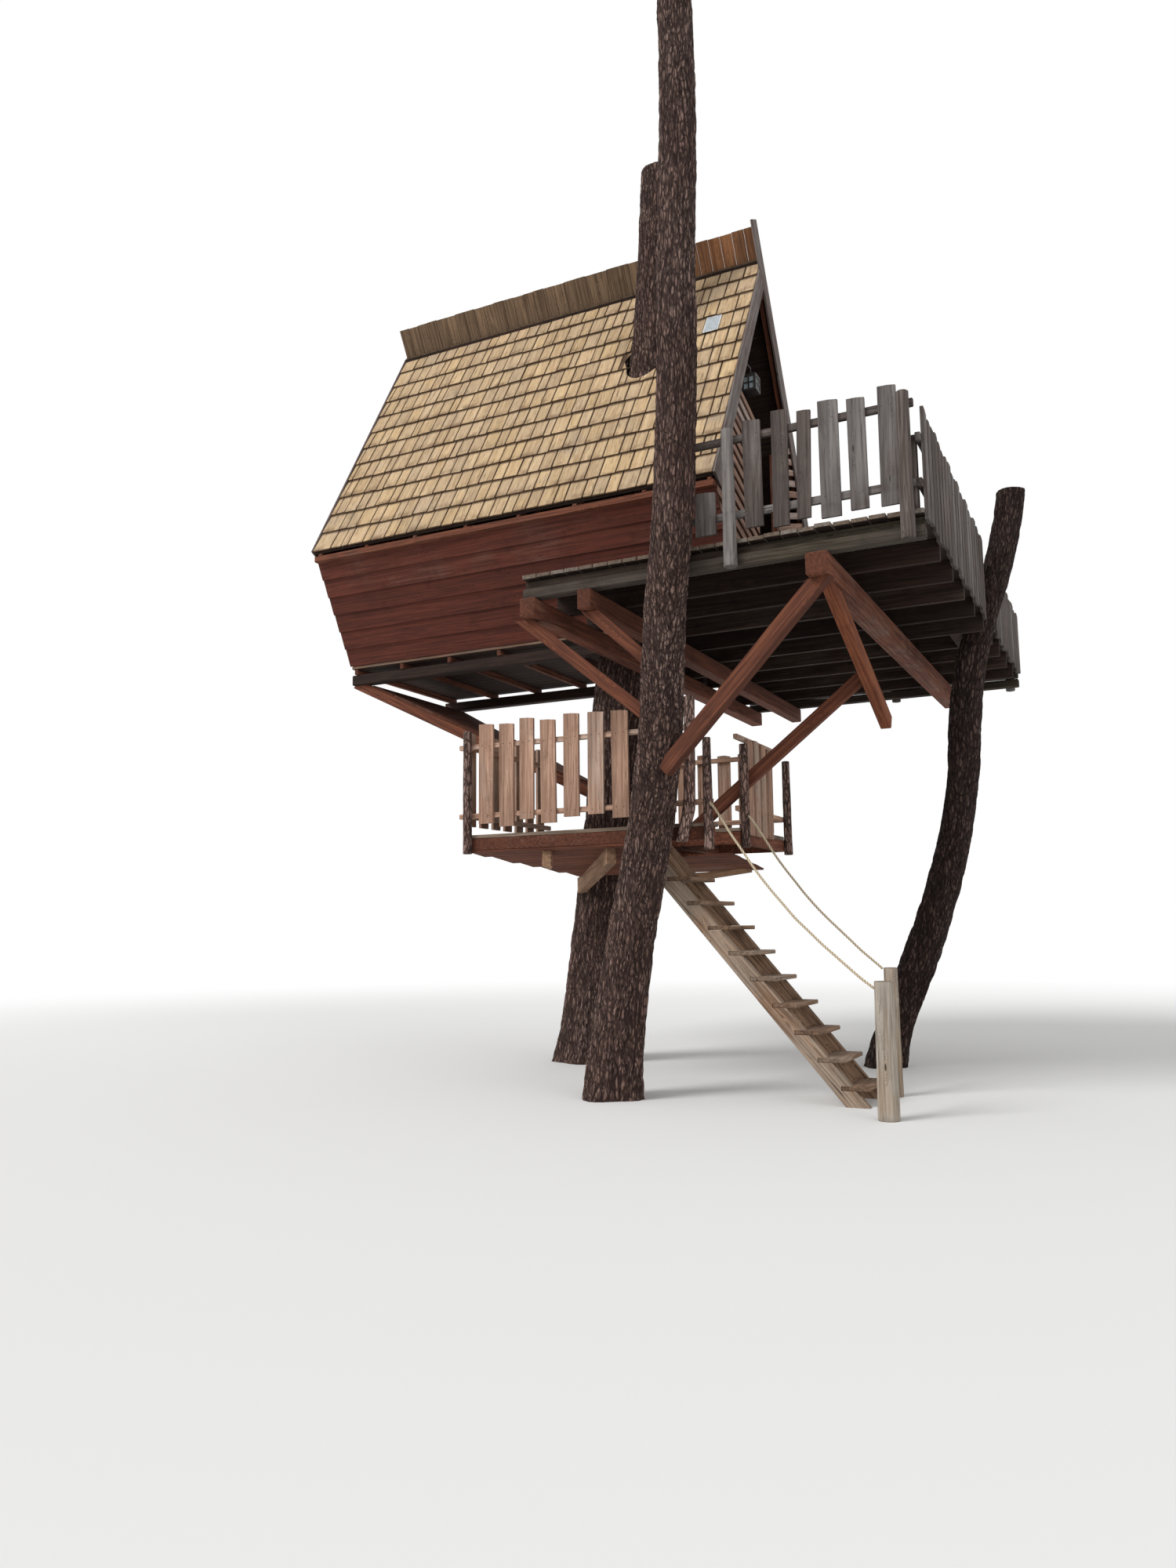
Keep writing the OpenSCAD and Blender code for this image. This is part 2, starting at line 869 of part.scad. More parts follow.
module cabin_soffit() {
    step = (cabin_soffit_to - cabin_soffit_from) / cabin_soffit_boards;
    color("maroon")
        in_brace_plane()
            translate([0, 0, brace_flat])
                linear_extrude(cabin_soffit_t)
                    for (k = [0:cabin_soffit_boards - 1]) {
                        a = cabin_soffit_from + k * step;
                        b = a + step - board_gap;
                        polygon([[a, cabin_soffit_over - brace_y(-1, a)],
                            [b, cabin_soffit_over - brace_y(-1, b)],
                            [b, -cabin_soffit_over - brace_y(1, b)],
                            [a, -cabin_soffit_over - brace_y(1, a)]]);
                    }
}

// Railing round the deck: logs outside the near and far edges, square posts
// inside the right one, two rails, and pickets on their outer faces. The
// right-hand railing is lower, and stops on both sides of the trunk.
near_log_x = [3125, deck_right - 120];
rail_left = 2760;
post_w = 90;
gap_near = right_y - 240;
gap_far = right_y + 640;
side_post_y = [-deck_half + rail_t + seat, -1300, gap_near - post_w, gap_far,
    deck_half - rail_t - seat - post_w];
log_foot = joist_bottom - 20;
log_top = deck_z + rail_top + 40;
// A log is flattened by this much where it lies on the deck's edge.
log_flat = 12;

module railing_logs() {
    difference() {
        for (x = near_log_x)
            log([x, -deck_half - log_d / 2 + log_flat, log_foot],
                [x, -deck_half - log_d / 2 + log_flat, log_top], log_d, log_d - 15);
        box([0, -deck_half, 0], [far, 0, far]);
    }
}

module deck_posts() {
    color("dimgray") {
        railing_logs();
        far_side()
            railing_logs();
        for (y = side_post_y)
            box([deck_right - rail_t - post_w, y, deck_z],
                [deck_right - rail_t, y + post_w, deck_z + side_rail_top]);
    }
}

module edge_rails() {
    for (z = [deck_z + rail_low, deck_z + rail_top - rail_h])
        box([rail_left, -deck_half, z],
            [deck_right - rail_t - seat, -deck_half + rail_t, z + rail_h]);
}

module deck_rails() {
    color("dimgray") {
        edge_rails();
        far_side()
            edge_rails();
        for (z = [deck_z + rail_low, deck_z + side_rail_top - rail_h]) {
            box([deck_right - rail_t, -deck_half, z], [deck_right, gap_near, z + rail_h]);
            box([deck_right - rail_t, gap_far, z], [deck_right, deck_half, z + rail_h]);
        }
    }
}

// Outline of a rough picket: w wide from z0 to z1, leaning by lean at its top,
// which is cut to a point or a slant.
module picket(at, w, z0, z1, lean, point, slant) {
    polygon([[at, z0], [at + w, z0], [at + w + lean, z1 - point - slant],
        [at + w * 0.55 + lean, z1 - slant / 2], [at + lean, z1 - point]]);
}

// Near pickets: place, width, foot and top above the deck, lean.
near_pickets = [[2800, 190, 70, 470, 0], [3262, 160, 75, 1050, -6], [3512, 140, 40, 1085, 8],
    [3722, 118, 75, 1035, 26], [3930, 170, 45, 1080, 0], [4180, 150, 70, 1045, -4],
    [4430, 150, 60, 1095, 6]];

module edge_pickets() {
    along_y(-deck_half - picket_t, -deck_half)
        for (p = near_pickets)
            picket(p[0], p[1], deck_z + p[2], deck_z + p[3], p[4], 4, p[1] / 12);
}

module deck_pickets_near() {
    color("darkgray")
        edge_pickets();
}

module deck_pickets_far() {
    color("darkgray")
        far_side()
            edge_pickets();
}

// Right-hand pickets: their tops pass the upper rail, less and less to the far
// side, and their feet hang below the deck.
side_over = 140;
side_fall = 75;
side_foot = -85;

module picket_run(y0, y1) {
    n = floor((y1 - y0) / side_pitch);
    along_x(deck_right, deck_right + picket_t)
        for (k = [0:n - 1]) {
            y = y0 + k * (y1 - y0) / n;
            top = deck_z + side_rail_top + side_over - side_fall * y / deck_half;
            picket(y, picket_w - 8 + 12 * sin(k * 67), deck_z + side_foot + 30 * sin(k * 90),
                top + 25 * cos(k * 110), 6 * sin(k * 50), 12 + 12 * sin(k * 131),
                14 + 14 * cos(k * 77));
        }
}

module deck_pickets_right() {
    color("darkgray") {
        picket_run(-deck_half + 40, gap_near);
        picket_run(gap_far, deck_half);
    }
}

// Lower platform.
low_joist_top = low_z - board_t;
low_rim_bottom = low_joist_top - low_rim_h;
well_left = 1760;
well_near = low_near + low_rim_w;
well_far = stair_near + stair_w + 20;

module near_rim() {
    box([low_left, low_near, low_rim_bottom], [low_right, low_near + low_rim_w, low_joist_top]);
}

// Joists along Y: two of them clasp the main trunk.
low_joist_x = [low_left, -60, 720, well_left - low_rim_w];

module lower_joists() {
    color("sienna") {
        near_rim();
        box([low_left, low_far - low_rim_w, low_rim_bottom],
            [low_joist_x[1] + low_rim_w, low_far, low_joist_top]);
        box([low_joist_x[2], low_far - low_rim_w, low_rim_bottom],
            [low_right, low_far, low_joist_top]);
        for (x = low_joist_x)
            box([x, low_near, low_rim_bottom], [x + low_rim_w, low_far, low_joist_top]);
        box([low_right - low_rim_w, well_far, low_rim_bottom], [low_right, low_far, low_joist_top]);
        box([well_left, well_far, low_rim_bottom], [low_right, well_far + low_rim_w, low_joist_top]);
    }
}

module lower_floor() {
    n = floor((low_far - low_near) / board_pitch);
    color("tan")
        difference() {
            for (k = [0:n - 1]) {
                y0 = low_near + k * board_pitch;
                right = y0 + board_pitch / 2 < well_far && k > 0 ? well_left : low_right;
                box([low_left, y0, low_joist_top], [right, y0 + board_pitch - board_gap, low_z]);
            }
            room_round(main_path, low_joist_top, low_z, 25);
        }
}

soffit_courses = 5;
soffit_drop = 200;
soffit_t = 25;
soffit_step = (low_far - 600 - low_near) / soffit_courses;

module lower_soffit() {
    step = soffit_step;
    fall = soffit_drop / soffit_courses;
    color("sienna")
        difference() {
            for (k = [0:soffit_courses - 1])
                along_x(low_left + 60 + k * 90,
                    low_near + k * step + 60 > well_far ? low_right - 80 : well_left - 80)
                    polygon([[low_near + k * step, low_rim_bottom - k * fall],
                        [low_near + k * step, low_rim_bottom - k * fall - soffit_t],
                        [low_near + (k + 1) * step, low_rim_bottom - (k + 1) * fall - soffit_t],
                        [low_near + (k + 1) * step, low_rim_bottom - (k + 1) * fall]]);
            room_round(main_path, low_rim_bottom - 300, low_joist_top, 10);
        }
}

// Logs outside the near and right edges, and a crooked post beside the well.
low_log_flat = 12;
low_log_y = low_near - low_log_d / 2 + low_log_flat;
low_log_side = low_right + low_log_d / 2 - low_log_flat;
low_log_foot = low_rim_bottom - 40;
crook_y = low_near - crook_d / 2 + low_log_flat;
crook_knee = crook_d + 8;

module lower_posts() {
    color("rosybrown") {
        difference() {
            union() {
                log([low_left + 50, low_log_y, low_log_foot],
                    [low_left + 50, low_log_y, low_z + 1090], low_log_d, low_log_d - 12);
                log([low_right - 30, low_log_y, low_log_foot - 60],
                    [low_right - 30, low_log_y, low_z + 800], low_log_d, low_log_d - 20);
                log([well_left + 490, crook_y, low_rim_bottom - 20],
                    [well_left + 575, crook_y, low_z + 140], crook_d, crook_d - 4);
                log([well_left + 575, crook_y, low_z + 140],
                    [well_left + 600, crook_y, low_z + 1210], crook_d - 4, crook_d - 16);
                translate([well_left + 575, crook_y, low_z + 140])
                    sphere(crook_knee / 2, $fn = 32);
            }
            box([-far, low_near, 0], [far, 0, far]);
            rope_hole(near_route, 0, 1);
        }
        difference() {
            for (y = [well_far + 60, low_far - 80])
                log([low_log_side, y, low_log_foot],
                    [low_log_side, y, low_z + 850], low_log_d, low_log_d - 12);
            box([0, -far, 0], [low_right, far, far]);
            rope_hole(far_route, 0, 1);
        }
    }
}

low_rail_h = 55;
low_rail_z = [low_z + 170, low_z + 900];

module lower_rails() {
    color("tan")
        for (z = low_rail_z) {
            box([low_left - 80, low_near, z], [low_right, low_near + rail_t, z + low_rail_h]);
            box([low_left, low_near + rail_t + seat, z],
                [low_left + rail_t, -700, z + low_rail_h]);
            box([low_right - rail_t, well_far, z],
                [low_right, low_far - rail_t - seat, z + low_rail_h]);
            box([900, low_far - rail_t, z], [low_right, low_far, z + low_rail_h]);
        }
}

// Near pickets of the platform: place, width, lift of the foot and of the top, lean.
low_pickets = [[-20, 170, 0, 0, 4], [230, 168, -40, -15, 0], [470, 162, 22, 22, 4],
    [720, 170, -30, -18, -6], [980, 170, 20, 20, 4], [1250, 172, 30, 10, 8],
    [1520, 176, -20, 0, -4], [2115, 70, 0, -60, 6]];

module lower_pickets_near() {
    color("tan")
        along_y(low_near - picket_t, low_near)
            for (p = low_pickets)
                picket(p[0], p[1], low_z + low_picket_foot + p[2], low_z + low_picket_top + p[3],
                    p[4], 3, p[1] / 14);
}

module lower_picket_row(at, pitch, n, foot, top) {
    for (k = [0:n - 1])
        picket(at + k * pitch, 150, low_z + foot, low_z + top + 20 * sin(k * 80), 4, 8, 10);
}

module lower_pickets_sides() {
    color("tan") {
        along_x(low_left - picket_t, low_left)
            lower_picket_row(low_near + 60, 250, 7, 100, 1110);
        along_x(low_right, low_right + picket_t)
            lower_picket_row(back_brace_y + 70, 215, 4, -60, 930);
        along_y(low_far, low_far + picket_t)
            lower_picket_row(1000, 250, 6, 60, 1010);
    }
}

// Arms reach from the main trunk to the rims, their tops on the soffit. The
// short one butts on the long one's side.
arm_w = 90;
arm_h = 180;
arm_z = low_rim_bottom - 100;

soffit_far = low_near + soffit_courses * soffit_step;
// The soffit's underside, which slopes down towards the trunk.
function arm_cut_z(y) = low_rim_bottom - soffit_t
    - (y - low_near) * soffit_drop / (soffit_courses * soffit_step);

module long_arm() {
    timber([100, -430, arm_z - 220], [1450, -2420, arm_z], arm_w, arm_h);
}

module lower_arms() {
    color("peru")
        difference() {
            union() {
                long_arm();
                timber([560, -250, arm_z - 220], [2350, -900, arm_z - 60], arm_w, arm_h);
                difference() {
                    timber([440, -1150, arm_z - 130], [730, -2440, arm_z], arm_w, arm_h);
                    long_arm();
                    translate([0, 0, arm_z - 400])
                        rotate([0, 0, atan2(-1990, 1350)])
                            translate([-400, -700, 0])
                                cube([4000, 700, 800]);
                }
            }
            along_x(-far, far)
                polygon([[low_near - 400, arm_cut_z(low_near - 400)],
                    [soffit_far, arm_cut_z(soffit_far)], [0, arm_cut_z(soffit_far)],
                    [0, far], [low_near - 400, far]]);
        }
}

// Stair.
stair_top_x = well_left;
stair_top_z = low_joist_top - 150;
stair_far = stair_near + stair_w;
stair_dir = [stair_top_x - stair_foot, stair_top_z] / norm([stair_top_x - stair_foot, stair_top_z]);
tread_count = 9;
function stair_x(z) = stair_foot + (stair_top_x - stair_foot) * z / stair_top_z;

module stringer(y0) {
    half = stringer_h / 2;
    side = [-stair_dir.y, stair_dir.x] * half;
    foot = [stair_foot, 0] - stair_dir * 300;
    head = [stair_top_x, stair_top_z] + stair_dir * 300;
    along_y(y0, y0 + stringer_t)
        intersection() {
            polygon([foot + side, head + side, head - side, foot - side]);
            translate([stair_top_x, 0])
                square([far, low_joist_top]);
        }
}

module tread(k) {
    z = 180 + k * stair_rise;
    x = stair_x(z);
    box([x + 10, stair_near, z - tread_t], [x + 10 + tread_d, stair_far, z]);
}

module stair_stringers() {
    color("peru")
        difference() {
            union() {
                stringer(stair_near);
                stringer(stair_far - stringer_t);
            }
            for (k = [0:tread_count - 1])
                tread(k);
        }
}

module stair_treads() {
    color("tan")
        for (k = [0:tread_count - 1])
            tread(k);
}

post_near = [4170, -2950];
post_far = [3950, -1620];

module stair_posts() {
    color("wheat")
        difference() {
            union() {
                log([post_near.x, post_near.y, 0], [post_near.x, post_near.y, 1120], 190, 160);
                log([post_far.x, post_far.y, 0], [post_far.x, post_far.y, 1180], 150, 130);
            }
            rope_hole(near_route, len(near_route) - 1, len(near_route) - 2);
            rope_hole(far_route, len(far_route) - 1, len(far_route) - 2);
        }
}

// Hand ropes: each route runs from the platform's post to the stair's post.
near_route = [[2520, -2560, 2760], [2580, -2570, 2700], [2670, -2590, 2570], [2760, -2610, 2430],
    [2860, -2630, 2290], [2960, -2660, 2150], [3060, -2690, 2020], [3170, -2720, 1890],
    [3280, -2750, 1770], [3390, -2780, 1650], [3510, -2810, 1540], [3630, -2840, 1430],
    [3750, -2870, 1330], [3870, -2900, 1230], [3980, -2925, 1140], [4090, -2945, 1060]];
far_route = [[2600, -1690, 2700], [2660, -1690, 2640], [2740, -1690, 2520], [2820, -1690, 2390],
    [2900, -1690, 2260], [2990, -1685, 2130], [3080, -1680, 2010], [3170, -1675, 1890],
    [3270, -1670, 1770], [3370, -1660, 1660], [3480, -1655, 1550], [3590, -1645, 1440],
    [3690, -1640, 1340], [3790, -1630, 1250], [3880, -1625, 1170]];

// Blind hole for a rope's end, bored along the rope's last straight stretch.
module rope_hole(route, end, next) {
    d = route[next] - route[end];
    translate(route[end])
        rotate([0, 0, atan2(d.y, d.x)])
            rotate([0, atan2(norm([d.x, d.y]), d.z), 0])
                cylinder(norm(d), d = rope_d + 3);
}

function unit(v) = v / norm(v);
module rope(route) {
    n = len(route);
    sides = 8;
    points = [for (j = [0:n - 1])
        let(t = unit(route[min(j + 1, n - 1)] - route[max(j - 1, 0)]),
            u = unit(cross(t, [0, 1, 0])), v = cross(t, u))
            for (i = [0:sides - 1])
                route[j] + (u * cos(45 * i) + v * sin(45 * i)) * rope_d / 2];
    tube = [for (j = [0:n - 2]) for (i = [0:sides - 1])
        let(a = j * sides + i, b = j * sides + (i + 1) % sides)
            each [[a, b, b + sides], [a, b + sides, a + sides]]];
    start = [for (i = [sides - 1:-1:0]) i];
    end = [for (i = [0:sides - 1]) (n - 1) * sides + i];
    polyhedron(points, concat([start], tube, [end]));
}

module rope_near() {
    color("tan")
        rope(near_route);
}

module rope_far() {
    color("tan")
        rope(far_route);
}

trunk_main();
trunk_near();
trunk_right();
cross_beams();
edge_beams();
deck_joists();
deck_boards();
cabin_bearers();
cabin_joists();
cabin_floor();
near_side_wall();
far_side_wall();
near_studs();
far_studs();
wall_plates();
near_rafters();
far_rafters();
ridge_beam();
near_roof();
far_roof();
ridge_crest();
front_rake_boards();
back_rake_boards();
back_gable_wall();
front_wall();
door_posts();
lantern();
roof_pane();
near_brace_outer();
near_brace_inner();
near_brace_right();
raking_brace();
back_brace();
cabin_braces();
cabin_soffit();
deck_posts();
deck_rails();
deck_pickets_near();
deck_pickets_right();
deck_pickets_far();
lower_joists();
lower_soffit();
lower_floor();
lower_posts();
lower_rails();
lower_pickets_near();
lower_pickets_sides();
lower_arms();
stair_stringers();
stair_treads();
stair_posts();
rope_near();
rope_far();
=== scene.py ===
import math
import bpy
import numpy as np
from mathutils import Matrix


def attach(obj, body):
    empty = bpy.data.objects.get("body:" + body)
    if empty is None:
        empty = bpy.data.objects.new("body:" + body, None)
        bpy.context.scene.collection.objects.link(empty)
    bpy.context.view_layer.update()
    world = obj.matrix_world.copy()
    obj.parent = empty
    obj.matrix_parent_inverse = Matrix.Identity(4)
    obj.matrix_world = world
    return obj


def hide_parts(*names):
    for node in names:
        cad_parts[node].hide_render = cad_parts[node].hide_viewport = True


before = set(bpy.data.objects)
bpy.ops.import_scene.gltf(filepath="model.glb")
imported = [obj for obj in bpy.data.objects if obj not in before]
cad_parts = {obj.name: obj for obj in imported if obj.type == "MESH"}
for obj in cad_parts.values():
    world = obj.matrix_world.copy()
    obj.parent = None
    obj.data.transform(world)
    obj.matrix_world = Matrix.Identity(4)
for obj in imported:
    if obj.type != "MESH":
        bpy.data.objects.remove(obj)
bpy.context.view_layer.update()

# The view
# From 1.6 m above the ground, 14 m off, looking up and to the left at the house, upright in a tall
# frame. The lens takes in 69 degrees from foot to top.
EYE = (6.27, -12.55, 1.60)
YAW, PITCH, ROLL = (math.radians(a) for a in (26.58, 7.13, -0.73))
FRAME_HEIGHT, LENS, FARTHEST = 24.0, 17.41, 200
FORWARD = (-math.sin(YAW) * math.cos(PITCH), math.cos(YAW) * math.cos(PITCH), math.sin(PITCH))


def unit(v):
    """v over its own length, row by row."""
    return v / np.linalg.norm(v, axis=-1, keepdims=True)


def aim(name, data, ahead, roll=0.0, place=(0, 0, 0)):
    """A camera or lamp at place that looks along ahead, its top upright, then turned by the roll."""
    ahead = unit(np.array(ahead, float))
    level = unit(np.cross(ahead, [0, 0, 1]))
    above = np.cross(level, ahead)
    right = math.cos(roll) * level + math.sin(roll) * above
    up = math.cos(roll) * above - math.sin(roll) * level
    made = bpy.data.objects.new(name, data)
    made.matrix_world = Matrix.Translation(place) @ Matrix([right, up, -ahead]).transposed().to_4x4()
    bpy.context.scene.collection.objects.link(made)
    return made


view = bpy.data.cameras.new("view")
view.sensor_width, view.lens, view.clip_end = FRAME_HEIGHT, LENS, FARTHEST
bpy.context.scene.camera = aim("view", view, FORWARD, ROLL, EYE)
bpy.context.scene.view_settings.view_transform = "Standard"

# Hand ropes
# Two slack ropes of three laid strands, 24 mm thick, of undyed hemp. Each is let into a log of the
# platform at the top and into a stair post at the foot.
ROPE_D, LAY_LENGTH = 0.024, 0.085
NEAR_ROUTE = [[2520, -2560, 2760], [2580, -2570, 2700], [2670, -2590, 2570], [2760, -2610, 2430],
              [2860, -2630, 2290], [2960, -2660, 2150], [3060, -2690, 2020], [3170, -2720, 1890],
              [3280, -2750, 1770], [3390, -2780, 1650], [3510, -2810, 1540], [3630, -2840, 1430],
              [3750, -2870, 1330], [3870, -2900, 1230], [3980, -2925, 1140], [4090, -2945, 1060]]
FAR_ROUTE = [[2600, -1690, 2700], [2660, -1690, 2640], [2740, -1690, 2520], [2820, -1690, 2390],
             [2900, -1690, 2260], [2990, -1685, 2130], [3080, -1680, 2010], [3170, -1675, 1890],
             [3270, -1670, 1770], [3370, -1660, 1660], [3480, -1655, 1550], [3590, -1645, 1440],
             [3690, -1640, 1340], [3790, -1630, 1250], [3880, -1625, 1170]]


def curve_through(route, step):
    """Catmull-Rom through the route's points, then evenly spaced: its points and their places along it."""
    p = np.array(route, float) / 1000
    p = np.vstack([2 * p[0] - p[1], p, 2 * p[-1] - p[-2]])
    t = np.linspace(0, 1, 24, endpoint=False)[:, None]
    a, b, c, d = (p[k:len(p) - 3 + k, None] for k in range(4))
    fine = 0.5 * (2 * b + (c - a) * t + (2 * a - 5 * b + 4 * c - d) * t**2 + (3 * b - 3 * c + d - a) * t**3)
    fine = np.vstack([fine.reshape(-1, 3), p[-2]])
    along = lengths(fine)
    s = np.linspace(0, along[-1], int(along[-1] / step) + 1)
    return np.stack([np.interp(s, along, fine[:, k]) for k in range(3)], 1), s


def lengths(line):
    """How far along the line each of its points lies."""
    return np.r_[0, np.cumsum(np.linalg.norm(np.diff(line, axis=0), axis=1))]


def angles(count):
    """Angles evenly round a circle."""
    return np.linspace(0, 2 * np.pi, count, endpoint=False)


def tube_faces(rows, around):
    """Quads (i, j), (i, j+1), (i+1, j+1), (i+1, j) of a closed tube, and the rings at its ends."""
    i, j = np.meshgrid(np.arange(rows - 1), np.arange(around), indexing="ij")
    k = (j + 1) % around
    quads = np.stack([i * around + j, i * around + k, (i + 1) * around + k, (i + 1) * around + j], -1)
    ring = np.arange(around)
    return quads.reshape(-1, 4), np.array([ring[::-1], (rows - 1) * around + ring])


def piece(name, points, faces, finish, slot, nodes=(), sharp=0.6, **fields):
    """Puts corner points and faces (arrays of corner numbers, one row a face) into one mesh on the house."""
    mesh = bpy.data.meshes.new(name)
    corners = np.concatenate([f.ravel() for f in faces])
    sizes = np.concatenate([np.full(len(f), f.shape[1]) for f in faces])
    mesh.vertices.add(len(points))
    mesh.vertices.foreach_set("co", np.asarray(points, np.float32).ravel())
    mesh.loops.add(len(corners))
    mesh.loops.foreach_set("vertex_index", corners.astype(np.int32))
    mesh.polygons.add(len(sizes))
    mesh.polygons.foreach_set("loop_start", np.r_[0, np.cumsum(sizes)[:-1]].astype(np.int32))
    mesh.update(calc_edges=True)
    for field, values in fields.items():
        kind, key = ("FLOAT", "value") if values.ndim == 1 else ("FLOAT_VECTOR", "vector")
        held = mesh.attributes.new(field, kind, "POINT").data
        held.foreach_set(key, values.astype(np.float32).ravel())
    mesh.shade_smooth()
    mesh.set_sharp_from_angle(angle=sharp)
    mesh.materials.append(finish)
    made = bpy.data.objects.new(name, mesh)
    bpy.context.scene.collection.objects.link(made)
    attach(made, "root")
    if nodes:
        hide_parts(*nodes)
    return made


class Reading:
    """What one shader node gives out, and the sums, patterns and colours made from it."""

    def __init__(self, tree, kind, inputs=None, out=0, **settings):
        """inputs are the node's sockets by name or number, each given a value or another reading."""
        node = tree.nodes.new("ShaderNode" + kind)
        for key, value in settings.items():
            setattr(node, key, value)
        for key, value in (inputs or {}).items():
            value = getattr(value, "socket", value)
            if isinstance(value, bpy.types.NodeSocket):
                tree.links.new(value, node.inputs[key])
            else:
                node.inputs[key].default_value = (*value, 1) if node.inputs[key].type == "RGBA" else value
        self.tree, self.socket = tree, node.outputs[out]

    def then(self, kind, inputs, out=0, **settings):
        return Reading(self.tree, kind, inputs, out, **settings)

    def calc(self, what, other=0.0):
        return self.then("Math", {0: self, 1: other}, operation=what)

    def __add__(self, other):
        return self.calc("ADD", other)

    def __sub__(self, other):
        return self.calc("SUBTRACT", other)

    def __mul__(self, other):
        return self.calc("MULTIPLY", other)

    def shift(self, low, high, to_low=0.0, to_high=1.0):
        """This taken smoothly from low..high to to_low..to_high."""
        ends = {"From Min": low, "From Max": high, "To Min": to_low, "To Max": to_high}
        return self.then("MapRange", {"Value": self, **ends}, interpolation_type="SMOOTHSTEP")

    def stretch(self, scale, move=(0, 0, 0)):
        """This place times scale, plus move."""
        return self.then("Mapping", {"Vector": self, "Scale": scale, "Location": move})

    def noise(self, scale, detail=3.0, rough=0.5, warp=0.0, out=0):
        """Clouds over this place, scale to the metre, or three scales where they are drawn out."""
        where, scale = (self.stretch(scale), 1.0) if isinstance(scale, tuple) else (self, scale)
        return self.then("TexNoise", {"Vector": where, "Scale": scale, "Detail": detail, "Roughness": rough,
                                      "Distortion": warp}, out)

    def cells(self, scale, feature="F1"):
        """How far this place lies from the nearest of scattered points, or from the border between two."""
        return self.then("TexVoronoi", {"Vector": self.stretch(scale), "Scale": 1.0}, feature=feature)

    def between(self, low, high):
        """The colour low where this is 0, and high where it is 1."""
        return self.then("Mix", {0: self, 6: low, 7: high}, 2, data_type="RGBA")

    def coats(self, *layers, how="MIX"):
        """This colour under further ones: each layer is its share and its colour."""
        colour = self
        for share, top in layers:
            colour = colour.then("Mix", {0: share, 6: colour, 7: top}, 2, data_type="RGBA", blend_type=how)
        return colour


class Finish:
    """A material in the making: its shader nodes and the surface that they colour."""

    def __init__(self, name, rough, spec=0.3):
        self.material = bpy.data.materials.new(name)
        self.material.use_nodes = True
        self.tree = self.material.node_tree
        self.skin = self.tree.nodes["Principled BSDF"]
        self.skin.inputs["Roughness"].default_value = rough
        self.skin.inputs["Specular IOR Level"].default_value = spec
        self.where = Reading(self.tree, "TexCoord", out=3)

    def field(self, name, out=2):
        """A number (2) or a place (1) that the mesh keeps for each of its points."""
        return Reading(self.tree, "Attribute", out=out, attribute_name=name)

    def lay(self, colour, height, depth, rough=None):
        """Joins a colour, a height in units of depth metres, and a roughness to the surface."""
        bump = height.then("Bump", {"Height": height, "Distance": depth, "Strength": 1.0})
        for name, given in (("Base Color", colour), ("Normal", bump), ("Roughness", rough)):
            if given:
                self.tree.links.new(given.socket, self.skin.inputs[name])
        return self.material


def hemp():
    """Pale straw strands, dark in the lay's grooves, with fine hairs along the twist."""
    finish = Finish("laid_hemp", 0.9, 0.2)
    twist = finish.field("twist", 1)
    hair = twist.noise((30, 900, 900), 4, 0.7)
    colour = twist.noise(9).between((0.62, 0.50, 0.34), (0.40, 0.31, 0.20)).coats(
        (hair.shift(0.3, 0.7), (0.74, 0.64, 0.47)),
        (finish.field("groove").shift(0.45, 1.0), (0.14, 0.10, 0.06)))
    return finish.lay(colour, hair, 0.0012)


LAID_HEMP = hemp()


def hand_rope(name, route):
    """Radius r (0.86 + 0.14 cos 3(a - 2 pi s / lay)) round a smooth line through the route."""
    line, s = curve_through(route, 0.0065)
    ahead = unit(np.gradient(line, axis=0))
    side = unit(np.cross(ahead, [0, 1.0, 0]))
    other = np.cross(ahead, side)
    a = angles(18)
    turn = 2 * np.pi * s[:, None] / LAY_LENGTH
    wave = np.cos(3 * (a - turn))
    r = ROPE_D / 2 * (0.86 + 0.14 * wave)
    outward = np.cos(a)[:, None] * side[:, None] + np.sin(a)[:, None] * other[:, None]
    points = line[:, None] + r[..., None] * outward
    strand = (a - turn) * ROPE_D / 2 * 40
    twist = np.stack([np.broadcast_to(s[:, None], r.shape), np.sin(strand) * 0.02, np.cos(strand) * 0.02], -1)
    rope = piece(name, points.reshape(-1, 3), tube_faces(len(s), len(a)), LAID_HEMP, "rope", [name], 1.2,
                 groove=(0.5 - 0.5 * wave).ravel(), twist=twist.reshape(-1, 3))


hand_rope("rope_near", NEAR_ROUTE)
hand_rope("rope_far", FAR_ROUTE)

# Floor and light
# A plain pale floor that runs out to white, a wide soft lamp high on the left in front of the house,
# a faint one on the right, and an even sky.
FLOOR_HALF_SIDE = 60.0
SKY_LIGHT = 0.62


def lay_floor():
    """One square; for the camera it fades to white between 9 and 22 m from the middle."""
    finish = Finish("pale_floor", 0.9, 0.1)
    finish.skin.inputs["Base Color"].default_value = (0.80, 0.80, 0.79, 1)
    off = finish.where.then("VectorMath", {0: finish.where}, 1, operation="LENGTH").shift(9, 22)
    seen = off * Reading(finish.tree, "LightPath", out="Is Camera Ray")
    glow = Reading(finish.tree, "Emission", {"Color": (1, 1, 1), "Strength": 1.0})
    both = seen.then("MixShader", {0: seen, 1: finish.skin.outputs[0], 2: glow})
    finish.tree.links.new(both.socket, finish.tree.nodes["Material Output"].inputs[0])
    mesh = bpy.data.meshes.new("floor")
    h = FLOOR_HALF_SIDE
    mesh.from_pydata([(-h, -h, 0), (h, -h, 0), (h, h, 0), (-h, h, 0)], [], [(0, 1, 2, 3)])
    mesh.materials.append(finish.material)
    floor = bpy.data.objects.new("floor", mesh)
    bpy.context.scene.collection.objects.link(floor)


